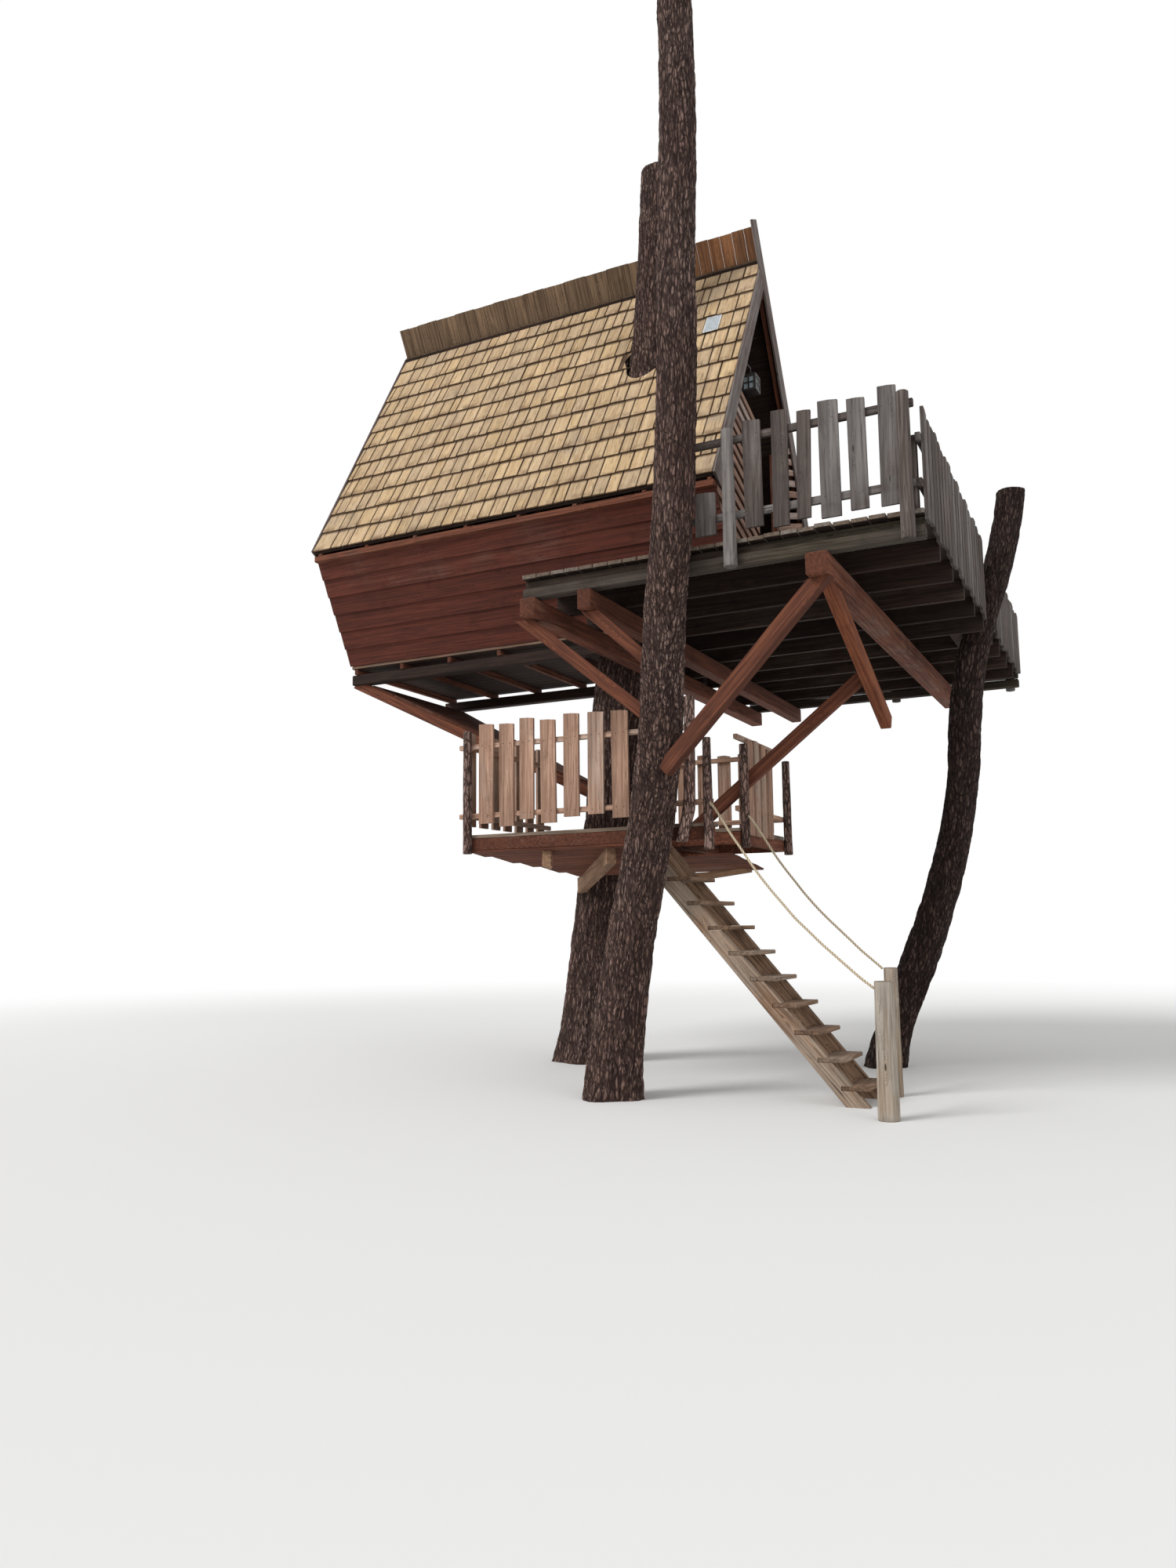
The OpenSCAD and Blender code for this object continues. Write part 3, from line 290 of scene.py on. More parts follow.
def set_sky():
    """White where the view, a reflection or glass meets it, and an even weaker white for all else."""
    world = bpy.data.worlds.new("sky")
    bpy.context.scene.world = world
    world.use_nodes = True
    tree, air = world.node_tree, world.node_tree.nodes["Background"].inputs
    rays = [Reading(tree, "LightPath", out=f"Is {kind} Ray") for kind in ("Camera", "Glossy", "Transmission")]
    shown = rays[0].calc("MAXIMUM", rays[1]).calc("MAXIMUM", rays[2])
    air["Color"].default_value = (1, 1, 1, 1)
    tree.links.new((shown * (1 - SKY_LIGHT) + SKY_LIGHT).socket, air["Strength"])


lay_floor()
set_sky()
for lamp_name, lamp_ahead, lamp_strength, degrees_wide in (("soft_key", (0.55, 0.80, -0.75), 1.9, 25),
                                                           ("soft_fill", (-0.70, 0.45, -0.35), 0.5, 40)):
    lamp = bpy.data.lights.new(lamp_name, "SUN")
    lamp.energy, lamp.angle = lamp_strength, math.radians(degrees_wide)
    aim(lamp_name, lamp, lamp_ahead)

# Trunks
# Three living trunks with deeply fissured bark. The middle one goes up through the cabin, the near
# one past the deck's near edge, and the right one past its right edge.
DICE = 256
TRUNK_FIT = 0.988
FISSURE = 0.024


def ease(t):
    """3 t^2 - 2 t^3: 0 to 1 with level ends."""
    return t * t * (3 - 2 * t)


def value_noise(turn, y, seed, wrap):
    """Smooth random heights -1..1 over wrap cells round the turn (0..1) and whole-number cells of y."""
    table = np.random.default_rng(seed).uniform(-1, 1, (DICE, DICE))
    x = turn * wrap
    ix, iy = np.floor(x).astype(int), np.floor(y).astype(int)
    fx, fy = ease(x - ix), ease(y - iy)

    def level(j):
        return table[ix % wrap % DICE, j % DICE] * (1 - fx) + table[(ix + 1) % wrap % DICE, j % DICE] * fx

    return level(iy) * (1 - fy) + level(iy + 1) * fy


def plates(x, y, seed, wrap):
    """Distance to the second nearest plate's centre less that to the nearest, and each plate's own number."""
    dice = np.random.default_rng(seed).uniform(0, 1, (3, DICE, DICE))
    ix, iy = np.floor(x).astype(int), np.floor(y).astype(int)
    near, second, number = np.full(x.shape, 9.0), np.full(x.shape, 9.0), np.zeros(x.shape)
    for dx in (-1, 0, 1):
        for dy in (-2, -1, 0, 1, 2):
            i, j = ix + dx, iy + dy
            u, v, w = dice[:, i % wrap % DICE, j % DICE]
            far_off = np.hypot(i + 0.1 + 0.8 * u - x, 0.6 * (j + 0.1 + 0.8 * v - y))
            closer = far_off < near
            second = np.where(closer, near, np.minimum(second, far_off))
            number = np.where(closer, w, number)
            near = np.where(closer, far_off, near)
    return second - near, number


def bark(name, shade):
    """Grey-brown plates that vary flake by flake, paler in patches. Long fissures run where a stretched noise
    crosses its middle, short ones on a wavy net, and the broad ones are the mesh's own."""
    finish = Finish(name, 0.93, 0.15)
    rise, number, where = finish.field("rise"), finish.field("plate"), finish.where
    flake = where.noise((34, 34, 9), 6, 0.68, 0.4)
    fine = where.noise((130, 130, 40), 5, 0.7)
    stain = where.noise((1.6, 1.6, 0.6), 5, 0.65)
    drift = where.noise((16, 16, 2), 3, 0.6, 0.7)
    long_cracks = (drift - 0.5).calc("ABSOLUTE").shift(0.034, 0.004)
    bend = where.stretch((1, 1, 0.5)).noise(16, out=1).stretch((0.05, 0.05, 0.09), (-0.025, -0.025, -0.045))
    wavy = bend.then("VectorMath", {0: where, 1: bend})
    short_cracks = wavy.cells((29, 29, 8.5), "DISTANCE_TO_EDGE").shift(0.20, 0.03)
    colour = flake.shift(0.3, 0.7).between((0.150, 0.096, 0.079), (0.285, 0.200, 0.167)).coats(
        (number.shift(0.45, 0.95, 0, 0.7), (0.200, 0.130, 0.096)),
        (stain.shift(0.44, 0.66, 0, 0.55), (0.31, 0.245, 0.21)),
        (stain.shift(0.42, 0.28, 0, 0.45), (0.085, 0.060, 0.050)),
        (fine.shift(0.58, 0.36, 0, 0.5), (0.075, 0.052, 0.042)),
        (short_cracks * 0.88, (0.034, 0.022, 0.019)),
        (long_cracks * 0.85, (0.030, 0.020, 0.017)),
        (rise.shift(0.60, 0.05, 0, 0.75), (0.030, 0.018, 0.016)))
    colour = colour.coats((1.0, (shade, 0.92 * shade, 0.92 * shade)), how="MULTIPLY")
    return finish.lay(colour, flake * 0.7 + fine * 0.35 - short_cracks * 0.4 - long_cracks, 0.014)


# The right trunk's bark is the same bark at 0.45 of its brightness: painted shade.
PLATED_BARK, SHADED_BARK = bark("plated_bark", 1.0), bark("shaded_bark", 0.45)


def trunk(name, path, lobes, flare, seed, around, rows, plate_w, finish=PLATED_BARK):
    """Ring radius r (1 + flare e^(-z/0.35) (1 + 0.45 cos(lobes a + 40)) + 0.04 cos(3 a + z / 0.009)), less
    the depth of wide fissures and of thinner ones between flakes, about a centre evened out over 0.3 m."""
    path = np.array(path, float) / 1000
    z = np.linspace(0, path[-1, 2], rows)
    below, level, above = (np.stack([np.interp(np.clip(z + lift, 0, z[-1]), path[:, 2], path[:, k])
                                     for k in (0, 1, 3)], -1) for lift in (-0.3, 0, 0.3))
    c = (below + 2 * level + above) / 4
    A, Z = np.meshgrid(angles(around), z)
    swell = 1 + flare * np.exp(-Z / 0.35) * (1 + 0.45 * np.cos(lobes * A + math.radians(40)))
    swell += 0.04 * np.cos(3 * A + np.radians(Z / 0.009))
    whole = c[:, 2:3] * swell * TRUNK_FIT
    count = int(round(2 * np.pi * path[0, 3] / plate_w))
    turn, v = A / (2 * np.pi), Z / (plate_w * 4.6)
    u = turn * count + 0.9 * value_noise(turn, v * 0.9, seed + 1, count // 3)
    u += 0.35 * value_noise(turn, v * 2.6, seed + 6, count)
    v = v + 0.6 * value_noise(turn, v * 0.7, seed + 2, count // 2)
    gap, number = plates(u, v, seed, count)
    thin, flake = plates(u * 2, v * 1.7, seed + 9, count * 2)
    rise, split = ease(np.clip(gap / 0.50, 0, 1)), ease(np.clip(thin / 0.36, 0, 1))
    broad = value_noise(turn, Z * 1.6, seed + 4, 8)
    r = whole - FISSURE * np.minimum(1, whole / 0.3) * (1 - rise) - 0.004 * (1 + broad)
    r -= rise * (0.008 * number + 0.004 * (1 - split) + 0.003 * flake)
    points = np.stack([c[:, 0:1] + r * np.cos(A), c[:, 1:2] + r * np.sin(A), Z], -1)
    piece(name + "_bark", points.reshape(-1, 3), tube_faces(rows, around), finish, "bark", [name], 1.4,
          rise=(rise * (0.72 + 0.28 * split)).ravel(), plate=(0.6 * number + 0.4 * flake).ravel())


trunk("trunk_main", [[0, 0, 0, 400], [150, -80, 1000, 380], [300, -165, 2000, 370], [450, -250, 3000, 355],
                     [700, -390, 4700, 345], [1000, -560, 6700, 300], [1250, -690, 8400, 250],
                     [1450, -800, 10600, 215]], 5, 0.22, 11, 196, 490, 0.068)
trunk("trunk_near", [[1520, -2660, 0, 270], [1760, -2680, 1450, 245], [2010, -2750, 2500, 240],
                     [2300, -3080, 3500, 215], [2500, -3440, 4400, 205], [2640, -3580, 5000, 200],
                     [2740, -3620, 6700, 195], [2800, -3640, 8600, 185], [2810, -3640, 10600, 170]],
      4, 0.18, 23, 180, 540, 0.050)
# The right trunk wears the darkened copy of the bark, as painted shade.
trunk("trunk_right", [[3345, 600, 0, 215], [3535, 562, 550, 212], [3775, 526, 1050, 232],
                      [3985, 490, 1565, 215], [4215, 440, 2250, 203], [4335, 400, 2760, 183],
                      [4425, 370, 3270, 182], [4450, 350, 3750, 190], [4570, 334, 4470, 182],
                      [4700, 334, 4880, 178], [4915, 334, 5480, 172], [5095, 334, 6300, 163]],
      4, 0.2, 37, 160, 330, 0.050, SHADED_BARK)

# Beams and joists of the deck
# Sawn timbers, each let down on the one below and nailed. Every stick is made from the faces of its
# own solid, with eased arrises and a wavering edge.
rng = np.random.default_rng(41)


def solids(node):
    """The node's loose solids: corners within 0.1 mm are one, and faces that share a corner are one solid."""
    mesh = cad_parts[node].data
    mesh.calc_loop_triangles()
    co = np.empty(len(mesh.vertices) * 3, np.float32)
    tri = np.empty(len(mesh.loop_triangles) * 3, np.int32)
    mesh.vertices.foreach_get("co", co)
    mesh.loop_triangles.foreach_get("vertices", tri)
    key, same = np.unique(np.round(co.reshape(-1, 3) * 1e4).astype(np.int64), axis=0, return_inverse=True)
    tri = same.reshape(-1)[tri].reshape(-1, 3)
    label = np.arange(len(key))
    while True:
        lower = label.copy()
        np.minimum.at(lower, tri.ravel(), np.repeat(label[tri].min(1), 3))
        lower = lower[lower]
        if (lower == label).all():
            break
        label = lower
    owner = label[tri[:, 0]]
    return [(key / 1e4, tri[owner == k]) for k in np.unique(owner)]


def grain_of(points, tri):
    """Rows a, b, c: c is square to the widest flat side, b to the widest side square to that, a is the grain.
    A side and the one behind it count as one, by turning each to look up, else right, else away."""
    corner = points[tri]
    normal = np.cross(corner[:, 1] - corner[:, 0], corner[:, 2] - corner[:, 0])
    area = np.linalg.norm(normal, axis=1)
    normal, area = normal[area > 1e-9] / area[area > 1e-9, None], area[area > 1e-9]
    x, y, z = normal.T
    side = np.where(np.abs(z) > 0.02, np.sign(z), np.where(np.abs(x) > 0.02, np.sign(x), np.sign(y)))
    normal = normal * side[:, None]
    group, member = np.unique(np.round(normal * 50).astype(int), axis=0, return_inverse=True)
    member = member.reshape(-1)
    total = np.bincount(member, area)
    c = normal[member == total.argmax()][0]
    beside = np.where(np.abs(group / 50 @ c) < 0.06, total, -1)
    b = normal[member == beside.argmax()][0]
    b = unit(b - c * (b @ c))
    return np.array([np.cross(b, c), b, c])


def end_line(q, face, top):
    """How far the wood reaches along a at each b, on one flat face: the outermost corner at every b."""
    on = np.abs(q[:, 2] - face) < 2e-3
    b = np.round(q[on, 1], 4)
    pick = max if top else min
    return np.unique(b), np.array([pick(q[on, 0][b == p]) for p in np.unique(b)])


class Stack:
    """Sticks gathered for one mesh: their points, faces, and the fields that their finish reads."""

    def __init__(self):
        self.points, self.faces, self.grain, self.tint, self.tip = [], [], [], [], []
        self.count = 0

    def put(self, points, faces, grain, tint, tip):
        self.points.append(points)
        self.faces += [f + self.count for f in faces]
        self.grain.append(grain + rng.uniform(-40, 40, 3))
        self.tint.append(np.full(len(points), tint))
        self.tip.append(tip)
        self.count += len(points)

    def make(self, name, finish, slot, nodes, sharp=0.6):
        piece(name, np.vstack(self.points), self.faces, finish, slot, nodes, sharp,
              grain=np.vstack(self.grain), tint=np.concatenate(self.tint), tip=np.concatenate(self.tip))


def waver(count, size):
    """A row of small inward steps, 0..size, that drifts slowly along a stick."""
    raw = np.convolve(rng.uniform(0, 1, count + 4), [0.15, 0.2, 0.3, 0.2, 0.15], "valid")
    return size * raw[:count]


def span(a, b):
    """The two places, the lower one first."""
    return min(a, b), max(a, b)


def square(place):
    """A stick's end that is cut square at one place along the grain."""
    return lambda y, z: np.full(y.shape, place)


def stick(stack, axes, low, high, b_span, c_span, edge=0.004, step=0.25, wander=0.003):
    """Rings of a rectangle with cut corners, carried from low(b, c) to high(b, c) along a; its two edges and
    its two faces each waver inwards, and its ends are eased like its corners."""
    (b0, b1), (c0, c1) = b_span, c_span
    e = min(edge, 0.3 * (b1 - b0), 0.3 * (c1 - c0))
    mid = np.linspace(b0 + e, b1 - e, 4)
    y = np.r_[mid, b1, b1, mid[::-1], b0, b0]
    z = np.r_[np.full(4, c0), c0 + e, c1 - e, np.full(4, c1), c1 - e, c0 + e]
    long = float(np.max(high(y, z) - low(y, z)))
    n = max(2, int(long / step) + 1)
    t = np.r_[0, np.linspace(e / long, 1 - e / long, n), 1][:, None]
    left, right, under, over = (np.r_[e, np.zeros(n), e][:, None] + waver(n + 2, size)[:, None]
                                for size in (wander, wander, wander * 0.35, wander * 0.35))
    Y = b0 + left + (y - b0) / (b1 - b0) * (b1 - b0 - left - right)
    Z = c0 + under + (z - c0) / (c1 - c0) * (c1 - c0 - under - over)
    lo, hi = low(Y, Z), high(Y, Z)
    X = lo + (hi - lo) * t
    q = np.stack([X, Y, Z], -1).reshape(-1, 3)
    stack.put(q @ axes, tube_faces(len(t), len(y)), q, rng.uniform(), np.minimum(X - lo, hi - X).ravel())


def bar(stack, axes, a, b, c, **how):
    """A square-ended stick from a[0] to a[1] along the grain."""
    stick(stack, axes, square(a[0]), square(a[1]), b, c, **how)


def stick_from(stack, points, tri, **how):
    """A stick for one solid where its two ends and four sides say all of its shape, or else its own faces."""
    axes = grain_of(points, tri)
    used = np.unique(tri)
    q = points[used] @ axes.T
    (a0, b0, c0), (a1, b1, c1) = q.min(0), q.max(0)
    lines = [end_line(q, face, top) for top in (False, True) for face in (c0, c1)]
    corner = points[tri]
    volume = np.einsum("ij,ij->i", corner[:, 0], np.cross(corner[:, 1], corner[:, 2])).sum() / 6
    b = np.linspace(b0, b1, 25)
    reach = [np.interp(b, *line) for line in lines]
    told = np.trapz((reach[2] + reach[3] - reach[0] - reach[1]) / 2, b) * (c1 - c0)
    if abs(volume / told - 1) > 0.012 or a1 - a0 < 0.05:
        fresh = np.zeros(len(points), int)
        fresh[used] = np.arange(len(used))
        stack.put(points[used], [fresh[tri]], q, rng.uniform(), np.minimum(q[:, 0] - a0, a1 - q[:, 0]))
        return

    def end(first, second):
        return lambda y, z: (np.interp(y, *first) * (c1 - z) + np.interp(y, *second) * (z - c0)) / (c1 - c0)

    stick(stack, axes, end(*lines[:2]), end(*lines[2:]), (b0, b1), (c0, c1), **how)


def timbers(name, nodes, finish, slot, **how):
    """One mesh of sticks for every solid of these nodes."""
    stack = Stack()
    for node in nodes:
        for points, tri in solids(node):
            stick_from(stack, points, tri, **how)
    stack.make(name, finish, slot, nodes)


def dim(colour, share):
    """A colour brought down to a share of itself."""
    return tuple(share * v for v in colour)


def wood(name, pale, dark, old, age, knots, checks, contrast=1.0, spread=0.35, under=None, beyond=None):
    """Sawn wood read along its grain: broad rings, streaks, fibres, knots with swirled rings, and drying
    checks; greyed in patches (old, by age), each stick a shade of its own (spread), and dirty in places.
    Faces that look down may be darkened towards the colour under, as painted shade, and they do not grey;
    past a place
    along X the wood turns to another colour (beyond): a real stain on the edge beams, painted sunlight on the
    crest."""
    finish = Finish(name, 0.85, 0.2)
    along, where = finish.field("grain", 1), finish.where
    tint, tip = finish.field("tint"), finish.field("tip")
    cell = along.cells((2.1, 8.5, 5.0))
    figure = along.noise((0.5, 9, 9), 2, 0.45, 0.4)
    rings = ((figure + cell.shift(0.34, 0.06) * (0.9 * knots)) * 46.0).calc("SINE")
    streak = along.noise((1.1, 34, 34), 4, 0.6, 0.2)
    fibre = along.noise((6, 190, 190), 4, 0.7)
    body = rings * (0.11 * contrast) + streak + (fibre - 0.5) * (0.6 * contrast)
    fresh = body.shift(0.22, 0.80)
    colour = fresh.between(dark, pale)
    # Past a place along X the wood takes another colour: a real stain on the edge beams, painted sunlight on
    # the crest.
    if beyond:
        start, blur, far_pale, far_dark = beyond
        past = (where.then("SeparateXYZ", {0: where}) + tint * blur).shift(start, start + 2 * blur)
        colour = colour.coats((past, fresh.between(far_dark, far_pale)))
    patch = where.noise(1.7, 5, 0.62)
    worn = patch + (tint - 0.5) * 0.55 + (streak - 0.5) * 0.6
    worn = worn.shift(0.72 - 0.5 * age, 1.0 - 0.5 * age) * min(1.0, 0.5 + age)
    # Painted shade: faces that look down take the darker colour under, and they are kept from greying.
    if under:
        look = Reading(finish.tree, "NewGeometry", out=1)
        up = look.then("SeparateXYZ", {0: look}, 2)
        colour = colour.coats((up.shift(-0.2, -0.8), body.between(dim(under, 0.5), under)))
        worn = worn * up.shift(-0.8, -0.2)
    colour = colour.coats((worn, body.shift(0.15, 0.85).between(dim(old, 0.55), old)))
    colour = colour.coats((1.0, tint * spread + (1 - spread / 2)), how="MULTIPLY")
    split = along.noise((1.6, 75, 75), 2, 0.5, 0.15).shift(0.335, 0.285) * patch.shift(0.40, 0.55)
    colour = colour.coats((where.noise(4.2, 6, 0.7).shift(0.50, 0.78) * 0.4, dim(dark, 0.30)),
                          (cell.shift(0.085, 0.045) * min(1.0, 1.6 * knots), dim(dark, 0.22)),
                          (split * checks, dim(dark, 0.16)),
                          (tip.shift(0.010, 0.0, 0, 0.45), dim(dark, 0.5)))
    return finish.lay(colour, fibre * 0.5 + rings * 0.10 + streak * 0.8 - split * (1.5 * checks), 0.0035)


# Nearly black wood, as painted shade: for the joists and bearers under the deck, and for the roof boards seen
# in the shingles' joints.
DARK_SHADED_WOOD = wood("dark_shaded_wood", (0.04, 0.022, 0.016), (0.017, 0.01, 0.008), (0.062, 0.043, 0.034),
                    0.22, 0.3, 0.4)
RED_STAINED = wood("red_stained", (0.19, 0.066, 0.035), (0.078, 0.027, 0.017), (0.2, 0.12, 0.09),
                   0.2, 0.35, 0.4)
timbers("cross_beam_timbers", ["cross_beams"], RED_STAINED, "red_timber", edge=0.008, wander=0.006)
timbers("deck_joist_timbers", ["deck_joists"], DARK_SHADED_WOOD, "dark_joists", edge=0.005, wander=0.004)

# Edge beams
# Each long edge has a deep beam with a thinner plank set back on top of it, both spiked to the
# joists' ends; damp wood made very dark, partly as painted shade, greenish at the right.
# Darker than damp wood alone: partly painted shade.
DAMP_SHADED_BROWN = wood("damp_shaded_brown", (0.055, 0.037, 0.027), (0.024, 0.016, 0.012), (0.066, 0.053, 0.044),
                  0.25, 0.4, 0.6, beyond=(3.3, 0.3, (0.066, 0.053, 0.036), (0.028, 0.022, 0.015)))
BEAM_ENDS, BEAM_FACE, BEAM_THICK = (1.020, 4.760), 3.400, 0.120
BEAM_Z, PLANK_Z, PLANK_BACK = (4.690, 4.800), (4.800, 4.890), 0.060


def both_sides(lay):
    """A stack of what lay(stack, side) puts on the near side, -1, and then on the far one, 1."""
    stack = Stack()
    for side in (-1, 1):
        lay(stack, side)
    return stack


def edge_beam(stack, side):
    """Two sticks along X: the proud lower one, and the upper one 60 mm back."""
    axes = np.array([[1.0, 0, 0], [0, 0, 1], [0, -1, 0]])
    for z, back in ((BEAM_Z, 0.0), (PLANK_Z, PLANK_BACK)):
        c = span(-side * (BEAM_FACE - back), -side * (BEAM_FACE - BEAM_THICK))
        bar(stack, axes, BEAM_ENDS, z, c, edge=0.010, wander=0.008, step=0.2)


both_sides(edge_beam).make("edge_beam_timbers", DAMP_SHADED_BROWN, "deck_boards", ["edge_beams"])

# Deck boards
# Boards laid from the near edge to the far one, 143 mm wide with open joints, their ends left uneven
# over the edge beams; bleached above, and darkened below as painted shade.
BROWN_GREY = wood("brown_grey", (0.27, 0.205, 0.155), (0.125, 0.088, 0.064), (0.32, 0.285, 0.25),
                  0.5, 0.35, 0.5, under=(0.028, 0.017, 0.013))
timbers("deck_planks", ["deck_boards"], BROWN_GREY, "deck_boards", wander=0.005, step=0.3)

# Cabin floor
# Two bearers lie on the deck's left beam and run out to the left; joists and floorboards lie on them,
# and boards nailed between the left braces close the slope below.
# The cabin floor's boards are darkened where they face down, as painted shade.
FLOOR_BROWN = wood("floor_brown", (0.175, 0.098, 0.06), (0.08, 0.043, 0.028), (0.17, 0.125, 0.095),
                   0.25, 0.4, 0.4, under=(0.04, 0.02, 0.014))
timbers("cabin_bearer_timbers", ["cabin_bearers"], DARK_SHADED_WOOD, "dark_joists", edge=0.008, wander=0.006)
timbers("cabin_joist_timbers", ["cabin_joists"], RED_STAINED, "red_timber")
timbers("cabin_floor_planks", ["cabin_floor"], FLOOR_BROWN, "deck_boards", wander=0.004)
timbers("cabin_soffit_boards", ["cabin_soffit"], RED_STAINED, "dark_joists", edge=0.003, wander=0.006)

# Side walls of the cabin
# Six lapped boards a side, nailed to leaning studs; red-brown stain, the laps casting thin shadows.
# The studs carry plates, rafters and the ridge beam.
# Darker than the boards' red-brown stain alone: partly painted shade.
MAROON = wood("maroon_boards", (0.125, 0.034, 0.021), (0.058, 0.017, 0.012), (0.135, 0.064, 0.047),
              0.15, 0.3, 0.4, contrast=0.6, spread=0.3)
FLOOR_HALF, DECK_Z, EAVE_Z, RIDGE_Z, EAVE_HALF = 1.170, 4.930, 6.230, 9.640, 1.930
CABIN_LEFT, CABIN_RIGHT = CABIN_ENDS = np.array([-2.800, 2.430])
ROOF_T, RAFTER_H, PLATE_H, WALL_T = 0.060, 0.100, 0.070, 0.045
WALL_BOARDS, BOARD_T, LAP, SCRIBED = 6, 0.026, 0.018, 0.006
SLOPE_LEN = math.hypot(EAVE_HALF, RIDGE_Z - EAVE_Z)
SLOPE_Y, SLOPE_Z = EAVE_HALF / SLOPE_LEN, (RIDGE_Z - EAVE_Z) / SLOPE_LEN
PLATE_TOP = EAVE_Z - ROOF_T
PLATE_BOTTOM = PLATE_TOP - PLATE_H


def slope_at(z, depth):
    """Y on the near side of a line parallel to the roof, depth inside it, at height z."""
    return -(RIDGE_Z - depth / SLOPE_Y - z) * SLOPE_Y / SLOPE_Z


PLATE_OUT, PLATE_IN = slope_at(PLATE_TOP, ROOF_T), slope_at(PLATE_TOP, ROOF_T + RAFTER_H)
WALL_LEAN = np.array([PLATE_OUT + 0.050 + FLOOR_HALF, PLATE_BOTTOM - DECK_Z])
WALL_LEN = float(np.linalg.norm(WALL_LEAN))
WALL_Y, WALL_Z = WALL_LEAN / WALL_LEN


def wall_at(z, depth):
    """Y on the near side of a line parallel to the wall, depth inside it, at height z."""
    return -FLOOR_HALF + (z - DECK_Z) * WALL_Y / WALL_Z + depth / WALL_Z


def lapped_wall(stack, side):
    """Course k runs from k/6 to (k+1)/6 up the wall, its foot 18 mm prouder than its head and its head tucked
    18 mm behind the next foot; the lowest is scribed to the floor."""
    step = WALL_LEN / WALL_BOARDS
    lap = math.atan2(LAP, step)
    up = math.cos(lap) * WALL_Y + math.sin(lap) * WALL_Z, math.cos(lap) * WALL_Z - math.sin(lap) * WALL_Y
    axes = np.array([[-side, 0, 0], [0, -side * up[0], up[1]], [0, side * up[1], up[0]]])
    for k in range(WALL_BOARDS):
        foot = [0, -side * (-FLOOR_HALF + k * step * WALL_Y), DECK_Z + k * step * WALL_Z]
        _, b, c = axes @ foot
        bar(stack, axes, span(*CABIN_ENDS * axes[0, 0]), (b - (0 if k else SCRIBED), b + step + LAP),
            (c - BOARD_T, c), edge=0.003, wander=0.005, step=0.22)


both_sides(lapped_wall).make("side_wall_boards", MAROON, "red_timber", ["near_side_wall", "far_side_wall"])
timbers("cabin_frame", ["near_studs", "far_studs", "wall_plates", "near_rafters", "far_rafters"], RED_STAINED,
        "red_timber")
timbers("ridge_timber", ["ridge_beam"], RED_STAINED, "red_timber")

# Roof shingles
# Twelve courses a slope of split softwood shingles, about 165 mm wide, nailed over boards with open
# joints; cut back round the trunk, and one left out for the pane.
COURSES, COURSE_STEP = 12, SLOPE_LEN / 12
SHINGLE_W, SHINGLE_BUTT = 0.165, 0.018
TRUNK_HOLE = (1.2346, 2.5315)
HOLE_OVER_X, HOLE_OVER_SLOPE = (0.326, 0.283, 0.496), (0.103, 0.504, 0.279)
PANE_X, PANE_W, PANE_COURSE = 1.8875, 0.195, 8


def honey():
    """Pale tan split wood: long streaks up the slope, some shingles yellower, some greyed; dark at the butt,
    its end grain with a painted shadow of the course line, stained above it, and darkened again as painted
    shade just under the next course's butt and along each shingle's side edges."""
    finish = Finish("honey_shingles", 0.9, 0.15)
    along, where = finish.field("grain", 1), finish.where
    tint, tip, head, side = (finish.field(name) for name in ("tint", "tip", "head", "side"))
    streak = along.noise((1.4, 24, 24), 5, 0.65, 0.3)
    fibre = along.noise((8, 160, 160), 4, 0.7)
    body = streak + (fibre - 0.5) * 0.7
    own = (tint * 7.3).calc("FRACT")
    weather = where.noise(1.1, 5, 0.65)
    stain = tip.shift(0.13, 0.01) * where.noise(6.5, 4, 0.6).shift(0.42, 0.66)
    cleft = along.noise((1.0, 62, 62), 2, 0.5, 0.1).shift(0.36, 0.30)
    colour = body.shift(0.24, 0.74).between((0.385, 0.255, 0.142), (0.640, 0.475, 0.292)).coats(
        (own.shift(0.55, 0.95, 0, 0.30), (0.56, 0.385, 0.185)),
        (own.shift(0.40, 0.05, 0, 0.28), (0.42, 0.325, 0.235)),
        (weather.shift(0.50, 0.74, 0, 0.60), (0.34, 0.275, 0.215)))
    colour = colour.coats((1.0, tint * 0.20 + 0.86), how="MULTIPLY").coats(
        (stain * 0.75, (0.17, 0.105, 0.06)),
        (cleft * 0.55, (0.12, 0.072, 0.04)),
        # Painted shade along each shingle's side edges.
        (side.shift(0.011, 0.002, 0, 0.75), (0.105, 0.066, 0.040)),
        # Painted shade just under the next course's butt.
        (head.shift(0.046, 0.006, 0, 0.88), (0.095, 0.060, 0.037)),
        # At the butt: its end grain, darkened further as painted shadow of the course line.
        (tip.shift(0.011, 0.003, 0, 0.9), (0.085, 0.050, 0.030)))
    return finish.lay(colour, fibre * 0.5 + streak - cleft, 0.005)


HONEY = honey()


def slope_axes(side):
    """Rows: along the ridge, up the slope, out of it; and the slope's foot."""
    out = np.array([0, side * SLOPE_Z, SLOPE_Y])
    up = np.array([0, -side * SLOPE_Y, SLOPE_Z])
    return np.array([[1, 0, 0], up, out]), np.array([0, side * EAVE_HALF, EAVE_Z])


def room_for_trunk(off, lean, half, reach):
    """The two borders of the trunk's ellipse in the slope: lean * off -+ reach sqrt(1 - (off / half)^2)."""
    wide = reach * np.sqrt(np.clip(1 - (off / half) ** 2, 0, 1))
    return lean * off - wide, lean * off + wide


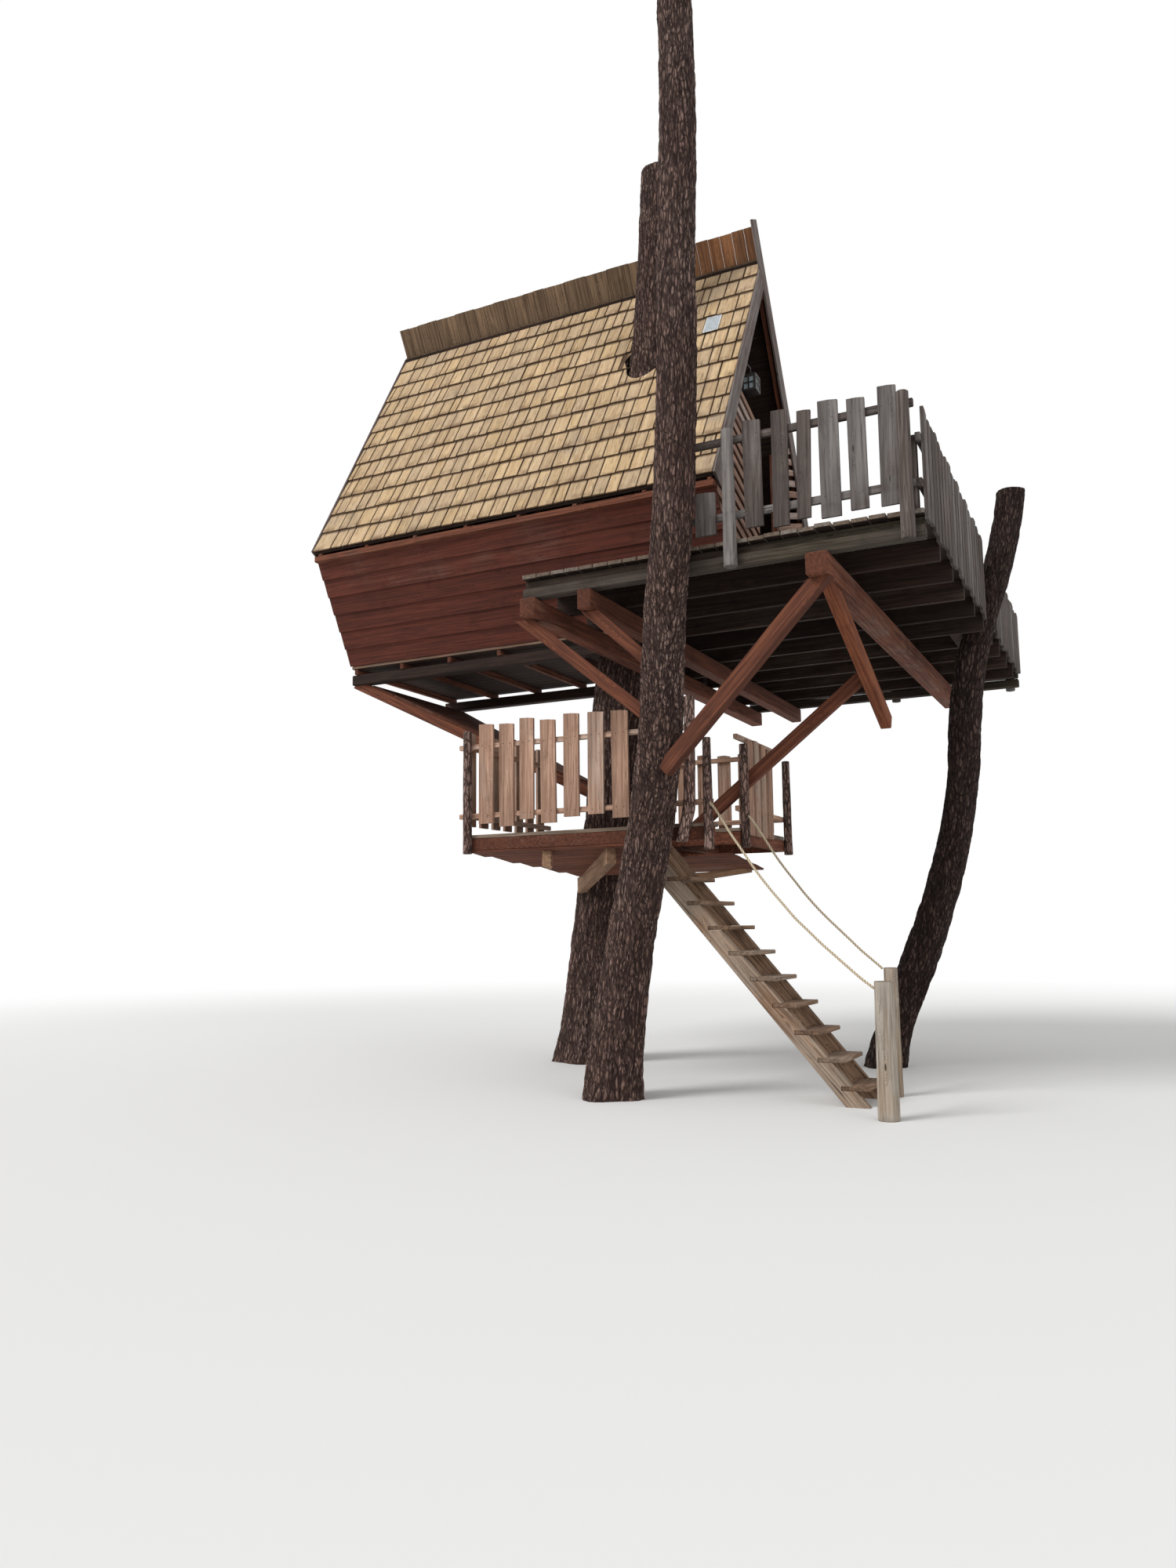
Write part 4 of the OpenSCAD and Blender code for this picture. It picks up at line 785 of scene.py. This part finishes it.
def course_joints(k, side):
    """Joints of one course: a lattice of 165 mm, each off it by up to 40 mm, and the edges of the pane."""
    joints = CABIN_LEFT - 0.10 + SHINGLE_W * np.arange(34) + rng.uniform(-0.04, 0.04, 34)
    joints = joints[(joints > CABIN_LEFT + 0.05) & (joints < CABIN_RIGHT - 0.05)]
    joints = np.r_[CABIN_LEFT, joints, CABIN_RIGHT]
    if side > 0 or k != PANE_COURSE:
        return joints[:-1], joints[1:]
    joints = joints[np.abs(joints - PANE_X - PANE_W / 2) > PANE_W / 2 + 0.06]
    joints = np.sort(np.r_[joints, PANE_X, PANE_X + PANE_W])
    shingle = joints[:-1] != PANE_X
    return joints[:-1][shingle], joints[1:][shingle]


def cut_round_trunk(x, low, high):
    """Splits each shingle that meets the hole in a lower and an upper part; none under 30 mm long stays."""
    n = len(x)
    down, up = (TRUNK_HOLE[1] + v for v in room_for_trunk(x - TRUNK_HOLE[0], *HOLE_OVER_X))
    met = (np.abs(x - TRUNK_HOLE[0]) < HOLE_OVER_X[1]).any(1) & (low < up).any(1) & (high > down).any(1)
    pick = np.r_[np.arange(n), np.flatnonzero(met)]
    low, high = (np.vstack([low, np.maximum(low, up)[met]]),
                 np.vstack([np.where(met[:, None], np.minimum(high, down), high), high[met]]))
    upper = (np.arange(len(pick)) >= n)[:, None]
    keep = (high - low).max(1) > 0.03
    low, high = (np.where(upper, np.minimum(low, high - 0.002), low),
                 np.where(upper, high, np.maximum(high, low + 0.002)))
    return pick[keep], low[keep], high[keep]


def shingles(name, node, side):
    """Per shingle, four stations up the slope by eight points round: a wedge, thick at the butt and gone at
    the head, with a rippled split face. One that meets the trunk's hole is cut in two along its border."""
    axes, foot = slope_axes(side)
    pairs = [course_joints(k, side) for k in range(COURSES)]
    x0, x1 = np.hstack(pairs)
    base = np.repeat(np.arange(COURSES) * COURSE_STEP, [len(pair[0]) for pair in pairs])
    n = len(base)
    gap = rng.uniform(0.0035, 0.0075, (n, 2))
    drop = np.where(base > 0, rng.uniform(-0.010, 0.012, n), rng.uniform(0.0, 0.012, n))
    skew = rng.uniform(-0.008, 0.008, n)[:, None]
    u, t = np.array([0, 0.33, 0.67, 1]), np.array([0, 0.06, 0.5, 1.0])
    x = (x0 + gap[:, 0])[:, None] + (x1 - x0 - gap.sum(1))[:, None] * u
    low = (base + drop)[:, None] + skew * (u - 0.5)
    high = np.minimum(np.full((n, 4), COURSE_STEP + 0.012) + base[:, None], SLOPE_LEN)
    if side < 0:
        pick, low, high = cut_round_trunk(x, low, high)
        x, base, n = x[pick], base[pick], len(pick)
    S = low[:, None] + (high - low)[:, None] * t[:, None]
    X = np.broadcast_to(x[:, None], S.shape)
    over = S - base[:, None, None]
    lift = -SHINGLE_BUTT * over / COURSE_STEP + rng.uniform(-0.004, 0.0, (n, 1, 1))
    top = lift + rng.uniform(-0.0032, 0.0, (n, 4, 4))
    top[:, 0] -= 0.0035
    under = lift - 0.020 + 0.013 * np.clip(over / COURSE_STEP, 0, 1)
    ring = np.concatenate([np.stack([X, S, under], -1), np.stack([X, S, top], -1)[:, :, ::-1]], 2)
    q = ring.reshape(n, -1, 3)
    first = (np.arange(n) * 32)[:, None, None]
    faces = [(f + first).reshape(-1, f.shape[1])[:, ::side] for f in tube_faces(4, 8)]
    edge = np.minimum(X - x[:, None, :1], x[:, None, 3:] - X)
    piece(name, q.reshape(-1, 3) @ axes + foot, faces, HONEY, "shingles", [node], 0.5,
          grain=(q[..., [1, 0, 2]] + rng.uniform(-40, 40, (n, 1, 3))).reshape(-1, 3),
          tint=np.repeat(rng.uniform(0, 1, n), 32), side=np.concatenate([edge, edge[:, :, ::-1]], 2).ravel(),
          tip=np.concatenate([S - low[:, None]] * 2, 2).ravel(),
          head=np.concatenate([COURSE_STEP - over] * 2, 2).ravel())


shingles("near_shingles", "near_roof", -1)
shingles("far_shingles", "far_roof", 1)

# Roof boards
# Boards nailed along the slopes under the shingles, kept nearly black as painted shade that shows in
# the shingles' joints; on the near slope they stop short of the trunk.
ROOF_BOARD_W, BOARDS_END = 0.16, SLOPE_LEN - 0.02


def roof_boards(stack, side):
    """Boards 160 mm wide from under the shingles to the roof's inner face, ending on the trunk's hole."""
    axes, foot = slope_axes(side)
    axes[0] = np.cross(axes[1], axes[2])
    _, b0, c1 = axes @ foot
    ends, c = span(*CABIN_ENDS * axes[0, 0]), (c1 - ROOF_T, c1 - 0.038)
    how = dict(edge=0.001, wander=0.0003, step=0.5)

    def border(k):
        return lambda y, z: TRUNK_HOLE[0] + room_for_trunk(y - b0 - TRUNK_HOLE[1], *HOLE_OVER_SLOPE)[k]

    for s in np.arange(0, BOARDS_END, ROOF_BOARD_W):
        b = (b0 + s, b0 + min(s + ROOF_BOARD_W - 0.0004, BOARDS_END))
        if side > 0 or abs(s + ROOF_BOARD_W / 2 - TRUNK_HOLE[1]) > HOLE_OVER_SLOPE[1] + ROOF_BOARD_W / 2:
            bar(stack, axes, ends, b, c, **how)
        else:
            stick(stack, axes, square(ends[0]), border(0), b, c, **how)
            stick(stack, axes, border(1), square(ends[1]), b, c, **how)


both_sides(roof_boards).make("roof_boards", DARK_SHADED_WOOD, "shingles", ["near_roof", "far_roof"])

# Roof pane
# A sheet of milky plastic in the place of one shingle, in a thin white frame that is screwed down
# over the roof boards.
RIM_W = 0.013


def plain(name, colour, stain, rough, spec=0.3, scale=24, depth=0.0006):
    """One flat colour with faint specks and runs of another."""
    finish = Finish(name, rough, spec)
    speck = finish.where.noise(scale, 5, 0.7)
    colour = (speck + finish.where.noise((26, 26, 3), 4, 0.6)).shift(0.95, 1.30).between(colour, stain)
    return finish.lay(colour, speck, depth, speck.shift(0.3, 0.7, rough - 0.08, rough + 0.12))


MILKY = plain("milky_sheet", (0.40, 0.45, 0.49), (0.28, 0.29, 0.28), 0.3, 0.5)
WHITE_EDGE = plain("white_edge", (0.70, 0.70, 0.68), (0.42, 0.39, 0.33), 0.55)


def roof_pane():
    """The sheet's plane goes from the roof's outer face at its foot to 18 mm under it at its head."""
    (_, up, out), foot = slope_axes(-1)
    lap = math.atan2(SHINGLE_BUTT, COURSE_STEP)
    co, si = math.cos(lap), math.sin(lap)
    axes = np.array([[1, 0, 0], up * co - out * si, out * co + up * si])
    _, b, c = axes @ (foot + PANE_COURSE * COURSE_STEP * up)
    x0, x1, top = PANE_X + 0.001, PANE_X + PANE_W - 0.001, b + math.hypot(COURSE_STEP, SHINGLE_BUTT) - 0.001
    sheet, rim = Stack(), Stack()
    how = dict(edge=0.0012, wander=0.0004)
    bar(sheet, axes, (x0 + 0.008, x1 - 0.008), (b + 0.009, top - 0.009), (c - 0.0074, c - 0.0034), **how)
    for x in ((x0, x0 + RIM_W), (x1 - RIM_W, x1)):
        bar(rim, axes, x, (b + 0.001, top), (c - 0.0076, c - 0.0004), **how)
    for y in ((b + 0.001, b + 0.001 + RIM_W), (top - RIM_W, top)):
        bar(rim, axes, (x0 + RIM_W, x1 - RIM_W), y, (c - 0.0076, c - 0.0008), **how)
    sheet.make("pane_sheet", MILKY, "pane", ["roof_pane"])
    rim.make("pane_rim", WHITE_EDGE, "pane", ["roof_pane"])


roof_pane()

# Crest and rake boards
# Upright boards run on past the ridge from the far slope; long weathered boards close the ends of
# both slopes. All are nailed on and left to grey.
# Right of X 0.9 m the crest turns orange-brown: painted sunlight.
CREST_BROWN = wood("crest_brown", (0.29, 0.19, 0.115), (0.12, 0.076, 0.047), (0.27, 0.205, 0.155),
                   0.35, 0.3, 0.5, beyond=(0.9, 0.5, (0.47, 0.215, 0.095), (0.235, 0.098, 0.048)))
RAKE_MAUVE = wood("rake_mauve", (0.165, 0.126, 0.112), (0.075, 0.054, 0.048), (0.2, 0.175, 0.165),
                  0.4, 0.4, 0.7)
RAKE_T, RAKE_W = 0.030, 0.200
timbers("crest_planks", ["ridge_crest"], CREST_BROWN, "crest_boards", edge=0.003, wander=0.006)
timbers("front_rake_planks", ["front_rake_boards"], RAKE_MAUVE, "grey_wood", wander=0.006)


def back_rake(stack, side):
    """Along the slope from the eave, its head cut upright at length - depth SLOPE_Z / SLOPE_Y."""
    (_, up, out), foot = slope_axes(side)
    axes = np.array([up, out, np.cross(up, out)])
    a, b, _ = axes @ foot
    stick(stack, axes, square(a), lambda y, z: a + SLOPE_LEN + (y - b) * SLOPE_Z / SLOPE_Y, (b - RAKE_W, b),
          span(axes[2, 0] * (CABIN_LEFT - RAKE_T), axes[2, 0] * CABIN_LEFT), wander=0.006)


both_sides(back_rake).make("back_rake_planks", RAKE_MAUVE, "grey_wood", ["back_rake_boards"])

# Back gable
# Boards across the back frame, 150 mm wide, cut to the roof and to the walls' lean; the top ones are
# notched over the ridge beam.
GABLE_STEP, GABLE_T, BEAM_ROOM = 0.152, (0.010, 0.038), 0.036
ACROSS = np.array([[0, 1.0, 0], [0, 0, 1], [1, 0, 0]])


def gable_reach(z):
    """Half width between the side walls up to the plates, then between plates, then between roof boards."""
    return np.where(z < PLATE_BOTTOM, -wall_at(z, WALL_T), np.minimum(-PLATE_IN, -slope_at(z, ROOF_T)))


def back_gable():
    """One board between each two levels, from side to side; beside the ridge beam it is two."""
    stack = Stack()
    beam_top = RIDGE_Z - (ROOF_T + RAFTER_H) / SLOPE_Y - 0.035 * SLOPE_Z / SLOPE_Y
    levels = np.r_[np.arange(DECK_Z, PLATE_BOTTOM - 0.05, GABLE_STEP), PLATE_BOTTOM,
                   np.arange(PLATE_BOTTOM + GABLE_STEP, beam_top - 0.20, GABLE_STEP),
                   beam_top - 0.140, beam_top, RIDGE_Z - ROOF_T / SLOPE_Y - 0.02]
    near, far = (lambda y, z: -gable_reach(y)), (lambda y, z: gable_reach(y))
    for z0, z1 in zip(levels[:-1], levels[1:]):
        halves, wander = [(near, far)], 0.004
        if beam_top - 0.15 < (z0 + z1) / 2 < beam_top:
            halves, wander = [(near, square(-BEAM_ROOM)), (square(BEAM_ROOM), far)], 0.002
        for start, end in halves:
            stick(stack, ACROSS, start, end, (z0 + 0.001, z1 - 0.002),
                  (CABIN_LEFT + GABLE_T[0], CABIN_LEFT + GABLE_T[1]), edge=0.002, wander=wander)
    stack.make("back_gable_boards", MAROON, "red_timber", ["back_gable_wall"])


back_gable()

# Front wall
# Tilted slats on both sides of an open doorway, sun-bleached where they stand proud, nailed to the
# last frame and to two door posts.
PINK_GREY = wood("pink_grey_slats", (0.36, 0.225, 0.165), (0.165, 0.092, 0.068), (0.38, 0.3, 0.265),
                 0.45, 0.3, 0.6)
timbers("front_slats", ["front_wall"], PINK_GREY, "red_timber", edge=0.003, wander=0.005)
timbers("door_post_timbers", ["door_posts"], RED_STAINED, "red_timber")

# Lantern
# Black iron: four corner posts between two plates, thin cross bars over milky glass, a hipped cap,
# and a rod that hangs from an arm on the rake board.
IRON = plain("black_iron", (0.022, 0.021, 0.020), (0.060, 0.040, 0.028), 0.5, 0.4, 60)
LAMP_GLASS = plain("lamp_glass", (0.34, 0.40, 0.44), (0.22, 0.23, 0.22), 0.3, 0.3)
LANTERN_FOOT = np.array([CABIN_RIGHT + 0.015, -0.590, 7.650])
LAMP_HALF, POST_IN, PANE_HALF = 0.0845, 0.058, 0.073
UPRIGHT = np.array([[0, 0, 1.0], [1, 0, 0], [0, 1, 0]])
FOOT_PLATE = [[0.0, 0.08], [0.002, LAMP_HALF], [0.024, LAMP_HALF], [0.028, 0.08]]
HEAD_PLATE = [[0.17, 0.08], [0.174, LAMP_HALF], [0.197, LAMP_HALF], [0.2, 0.081]]
CAP = [[0.199, 0.055], [0.205, 0.053], [0.217, 0.034], [0.227, 0.018], [0.23, 0.01]]
BURNER = [[0.014, 0.03], [0.02, 0.014], [0.034, 0.012], [0.045, 0.028], [0.045, 0.006], [0.188, 0.006]]
ROD = [[0.226, 0.006], [0.238, 0.004], [0.252, 0.004], [0.258, 0.0068], [0.268, 0.0068], [0.274, 0.004],
       [0.29, 0.004]]


def turned(stack, rings, around):
    """A closed tube about the lantern's middle: rings are [height, half width], four-cornered or round."""
    rings = np.array(rings)
    a = angles(around) + np.pi / 4
    r = rings[:, 1, None] * (math.sqrt(2) if around == 4 else 1)
    q = np.stack([r * np.cos(a), r * np.sin(a), np.broadcast_to(rings[:, 0, None], (len(rings), around))], -1)
    q = q.reshape(-1, 3)
    stack.put(q + LANTERN_FOOT, tube_faces(len(rings), around), q, 0.5, np.ones(len(q)))


def lantern():
    """Plates, cap, burner and rod about the middle, bars at corners and faces, glass behind, and the arm."""
    metal, glass = Stack(), Stack()
    x, y, z = LANTERN_FOOT
    for rings, around in ((FOOT_PLATE, 4), (HEAD_PLATE, 4), (CAP, 4), (BURNER, 16), (ROD, 12)):
        turned(metal, rings, around)
    how = dict(edge=0.002, wander=0.0006, step=0.05)
    for i in (-1, 1):
        for j in (-1, 1):
            bar(metal, UPRIGHT, (z + 0.012, z + 0.188), span(x + i * LAMP_HALF, x + i * POST_IN),
                span(y + j * LAMP_HALF, y + j * POST_IN), **how)
    for u, v in ((1, 0), (0, 1), (-1, 0), (0, -1)):
        axes = np.array([[0, 0, 1.0], [-v, u, 0], [-u, -v, 0]])
        b, c = axes[1:, :2] @ (x, y)
        bar(metal, axes, (z + 0.013, z + 0.187), (b - 0.009, b + 0.009), (c - 0.0840, c - 0.0780), **how)
        level = axes[[1, 0, 2]] * [[-1], [1], [1]]
        across, height = (-b - PANE_HALF, -b + PANE_HALF), (z + 0.091, z + 0.109)
        bar(metal, level, across, height, (c - 0.0838, c - 0.0780), **how)
        bar(glass, axes, (z + 0.011, z + 0.189), (b - PANE_HALF, b + PANE_HALF), (c - 0.0725, c - 0.0700),
            edge=0.001, wander=0.0, step=0.1)
    stick(metal, ACROSS, lambda b, c: slope_at(b, RAKE_W), square(y + 0.007), (z + 0.290, z + 0.304),
          (x - 0.006, x + 0.006), edge=0.002, wander=0.001, step=0.05)
    metal.make("lantern_iron", IRON, "black_iron", ["lantern"])
    glass.make("lantern_glass", LAMP_GLASS, "black_iron", ["lantern"])


lantern()

# Braces
# Sawn knee braces, stained red like the beams, cut to the trunks' sides and to the beams and spiked
# to both; the one that rakes across the deck's underside is the brightest.
BRIGHT_RED = wood("bright_red_brace", (0.31, 0.104, 0.046), (0.155, 0.048, 0.026), (0.27, 0.16, 0.11),
                  0.18, 0.4, 0.5)
timbers("brace_timbers",
        ["near_brace_outer", "near_brace_inner", "near_brace_right", "back_brace", "cabin_braces"],
        RED_STAINED, "red_timber", edge=0.007, wander=0.006)
timbers("raking_brace_timber", ["raking_brace"], BRIGHT_RED, "red_timber", edge=0.007, wander=0.006)

# Deck railing
# Slab pickets with uneven sawn tops, nailed to two rails between sawn posts; the long sides have
# round logs, peeled and greyed, with a flat where they bear.
SILVER = wood("silver_boards", (0.15, 0.122, 0.11), (0.062, 0.047, 0.041), (0.2, 0.18, 0.171),
              0.48, 0.45, 0.9)
LOG_X, LOG_Y, POST_X, POST_W = (3125, 4640), 3450.5, (4.625, 4.715), 0.090


def round_log(stack, stations, flats=(), around=20, step=0.06, lump=0.05, seed=0):
    """A tube through [x, y, z, diameter] stations in mm: radius r (1 - lumps), its ends eased. flats are
    [axis, side, place]: what lies past that place on that side is planed off."""
    p = np.array(stations, float) / 1000
    along = lengths(p[:, :3])
    n = max(4, int(along[-1] / step))
    s = np.r_[0, np.linspace(0.006, along[-1] - 0.006, n), along[-1]]
    c = np.stack([np.interp(s, along, p[:, k]) for k in range(4)], 1)
    A, T = np.meshgrid(angles(around), s)
    turn = A / (2 * np.pi)
    r = c[:, 3:] / 2 * 0.99 - np.r_[0.006, np.zeros(n), 0.006][:, None]
    r = r * (1 - lump * (0.5 + 0.5 * value_noise(turn, T * 5, seed + 70, 5)))
    r = r * (1 - 0.4 * lump * (0.5 + 0.5 * value_noise(turn, T * 14, seed + 71, 12)))
    u, v = r * np.cos(A), r * np.sin(A)
    points = np.stack([c[:, 0:1] + u, c[:, 1:2] + v, np.broadcast_to(c[:, 2:3], r.shape)], -1).reshape(-1, 3)
    for axis, side, place in flats:
        points[:, axis] = side * np.minimum(side * points[:, axis], side * place)
    q, tip = np.stack([T, u, v], -1).reshape(-1, 3), np.minimum(T, along[-1] - T).ravel()
    stack.put(points, tube_faces(len(s), around), q, rng.uniform(), tip)


def deck_posts():
    """Two logs on each long side, planed where they bear on the beam, and five sawn posts at the right."""
    stack = Stack()
    for x in LOG_X:
        for side in (-1, 1):
            round_log(stack, [[x, side * LOG_Y, 4670, 125], [x, side * LOG_Y, 5920, 110]],
                      [(1, -side, -BEAM_FACE)], seed=x)
    for y in (-3.3547, -1.300, 0.004, 0.974, 3.2647):
        bar(stack, UPRIGHT, (DECK_Z, DECK_Z + 0.650), POST_X, (y, y + POST_W), edge=0.006)
    stack.make("deck_posts_and_logs", SILVER, "grey_wood", ["deck_posts"], 0.9)


timbers("deck_picket_slabs", ["deck_pickets_near", "deck_pickets_right", "deck_pickets_far"], SILVER,
        "grey_wood", edge=0.005, wander=0.010, step=0.12)
timbers("deck_rail_timbers", ["deck_rails"], SILVER, "grey_wood", edge=0.005, wander=0.004)
deck_posts()

# Lower platform
# A boarded frame on arms from the trunk, closed below by boards that slope down to the trunk; frame
# and soffit are stained red and nailed, the floor is bleached.
SOFFIT_BOARDS, SOFFIT_W, SOFFIT_T, COURSE_RUN, COURSE_FALL = 12, 0.1467, 0.0247, 0.350, 0.040
timbers("platform_frame", ["lower_joists"], RED_STAINED, "red_timber", edge=0.005)


def platform_soffit():
    """Boards along X, 141 mm wide, on a plane that falls 40 mm in every 350 mm towards the trunk. Each 350 mm
    starts 90 mm further right, and those past the stair's well run on to the right."""
    stack = Stack()
    fall = math.atan2(COURSE_FALL, COURSE_RUN)
    axes = np.array([[1, 0, 0], [0, math.cos(fall), -math.sin(fall)], [0, math.sin(fall), math.cos(fall)]])
    _, b, c = axes @ [0, -2.5, 2.4]
    for k in range(SOFFIT_BOARDS):
        course = int(k * 0.146 / COURSE_RUN + 0.2)
        bar(stack, axes, (-0.140 + 0.090 * course, 2.470 if course > 1 else 1.680),
            (b + SOFFIT_W * k + 0.003, b + SOFFIT_W * (k + 1) - 0.003),
            (c - SOFFIT_T, c - 0.001 - 0.003 * (k % 2)), edge=0.003, wander=0.005)
    stack.make("platform_soffit_boards", RED_STAINED, "dark_joists", ["lower_soffit"])


platform_soffit()
timbers("platform_planks", ["lower_floor"], BROWN_GREY, "deck_boards", wander=0.005)

# Platform railing
# Broad bleached slabs with knots, nailed to two rails between five logs that keep their bark; it is
# palest on the crooked one beside the stair.
PINK_TAN = wood("pink_tan_slabs", (0.6, 0.385, 0.275), (0.3, 0.168, 0.115), (0.5, 0.38, 0.31),
                0.3, 0.8, 0.6)
LOG_BARK, PALE_BARK = bark("log_bark", 1.3), bark("pale_log_bark", 2.1)
NEAR_FLAT, SIDE_FLAT = [(1, 1, -2.5)], [(0, -1, 2.55)]
timbers("platform_picket_slabs", ["lower_pickets_near", "lower_pickets_sides"], PINK_TAN, "pale_wood",
        edge=0.005, wander=0.010, step=0.12)
timbers("platform_rail_timbers", ["lower_rails"], PINK_TAN, "pale_wood", edge=0.005)


def barked(name, finish, logs, flats, lump):
    """Logs that keep their bark: the same fields as the trunks, all of it on the plates' tops."""
    stack = Stack()
    for k, stations in enumerate(logs):
        round_log(stack, stations, flats, seed=3 * k + len(name), lump=lump, around=24, step=0.03)
    piece(name, np.vstack(stack.points), stack.faces, finish, "pale_wood", ["lower_posts"], 0.9,
          rise=np.ones(stack.count), plate=np.concatenate(stack.tint))


barked("platform_near_logs", LOG_BARK,
       [[[-150, -2540.5, 2360, 105], [-150, -2540.5, 3650, 93]],
        [[2520, -2540.5, 2300, 105], [2520, -2540.5, 3360, 85]]], NEAR_FLAT, 0.09)
barked("platform_side_logs", LOG_BARK,
       [[[2590.5, y, 2360, 105], [2590.5, y, 3410, 93]] for y in (-1680, -230)], SIDE_FLAT, 0.09)
barked("crooked_log", PALE_BARK,
       [[[2250, -2553, 2380, 130], [2295, -2553, 2545, 129], [2335, -2553, 2700, 135],
         [2343, -2553, 2860, 124], [2360, -2553, 3770, 114]]], NEAR_FLAT, 0.12)

# Nails of the railings
# Two flat-headed nails, 12 mm over the head and browned with rust, hold each picket to each of its
# rails.
RUSTY_NAIL = plain("rusty_nail", (0.070, 0.045, 0.034), (0.150, 0.070, 0.034), 0.7, 0.3, 300, 0.0003)
NAIL_RINGS = ((0.0060, -0.012), (0.0060, 0.0006), (0.0042, 0.0015))


def nail_heads(stack, node, middle, heights):
    """Three rings of eight points a head: in the wood, at its rim, and on its face, 1.5 mm proud. A picket's
    face is the one away from the middle of its railing."""
    a = angles(8)[:, None]
    for points, tri in solids(node):
        used = points[np.unique(tri)]
        low, high = used.min(0), used.max(0)
        thin = int(high[1] - low[1] < high[0] - low[0])
        side = 1 if (low + high)[thin] / 2 > middle[thin] else -1
        out = np.eye(3)[thin] * side
        across = np.cross([0, 0, 1.0], out)
        wide = (high - low)[1 - thin]
        for z in (z for z in heights if low[2] + 0.02 < z < high[2] - 0.05):
            for part in (-0.24, 0.24):
                centre = (low + high) / 2
                centre[thin] = high[thin] if side > 0 else low[thin]
                centre[2] = z + rng.uniform(-0.010, 0.010)
                centre += across * (part * wide + rng.uniform(-0.008, 0.008))
                q = np.vstack([centre + out * lift + r * (np.cos(a) * across + np.sin(a) * [0, 0, 1.0])
                               for r, lift in NAIL_RINGS])
                stack.put(q, tube_faces(3, 8), q, 0.5, np.ones(24))


nails = Stack()
for pickets, middle, rails in (("deck_pickets_near", (2.9, 0.0), (5.155, 5.845)),
                               ("deck_pickets_far", (2.9, 0.0), (5.155, 5.845)),
                               ("deck_pickets_right", (2.9, 0.0), (5.155, 5.545)),
                               ("lower_pickets_near", (1.2, -1.3), (2.7575, 3.4875)),
                               ("lower_pickets_sides", (1.2, -1.3), (2.7575, 3.4875))):
    nail_heads(nails, pickets, middle, rails)
nails.make("railing_nails", RUSTY_NAIL, "black_iron", [])

# Arms of the platform
# Three sawn timbers let into the trunk, their tops cut to the sloping soffit that lies on them, their
# ends left square.
ARM_TAN = wood("arm_tan", (0.5, 0.305, 0.185), (0.245, 0.138, 0.084), (0.42, 0.32, 0.25), 0.3, 0.6, 0.6)
timbers("platform_arms", ["lower_arms"], ARM_TAN, "pale_wood", edge=0.008)

# Stair
# Two plank stringers with nine treads let into them, and two peeled logs at the foot that hold the
# ropes.
WORN_TAN = wood("worn_tan", (0.35, 0.222, 0.142), (0.125, 0.074, 0.048), (0.31, 0.245, 0.19),
                0.36, 0.5, 0.8, contrast=1.2)
PEELED = wood("peeled_log", (0.4, 0.315, 0.235), (0.2, 0.145, 0.1), (0.38, 0.335, 0.285),
              0.4, 0.6, 1.0, spread=0.4)
timbers("stringer_planks", ["stair_stringers"], WORN_TAN, "pale_wood")
timbers("tread_planks", ["stair_treads"], WORN_TAN, "deck_boards", edge=0.006, wander=0.006)
stair_logs = Stack()
round_log(stair_logs, [[4170, -2950, 0, 190], [4170, -2950, 1120, 160]], around=28, step=0.05, seed=7)
round_log(stair_logs, [[3950, -1620, 0, 150], [3950, -1620, 1180, 130]], around=24, step=0.05, seed=8)
stair_logs.make("stair_post_logs", PEELED, "pale_wood", ["stair_posts"], 0.9)
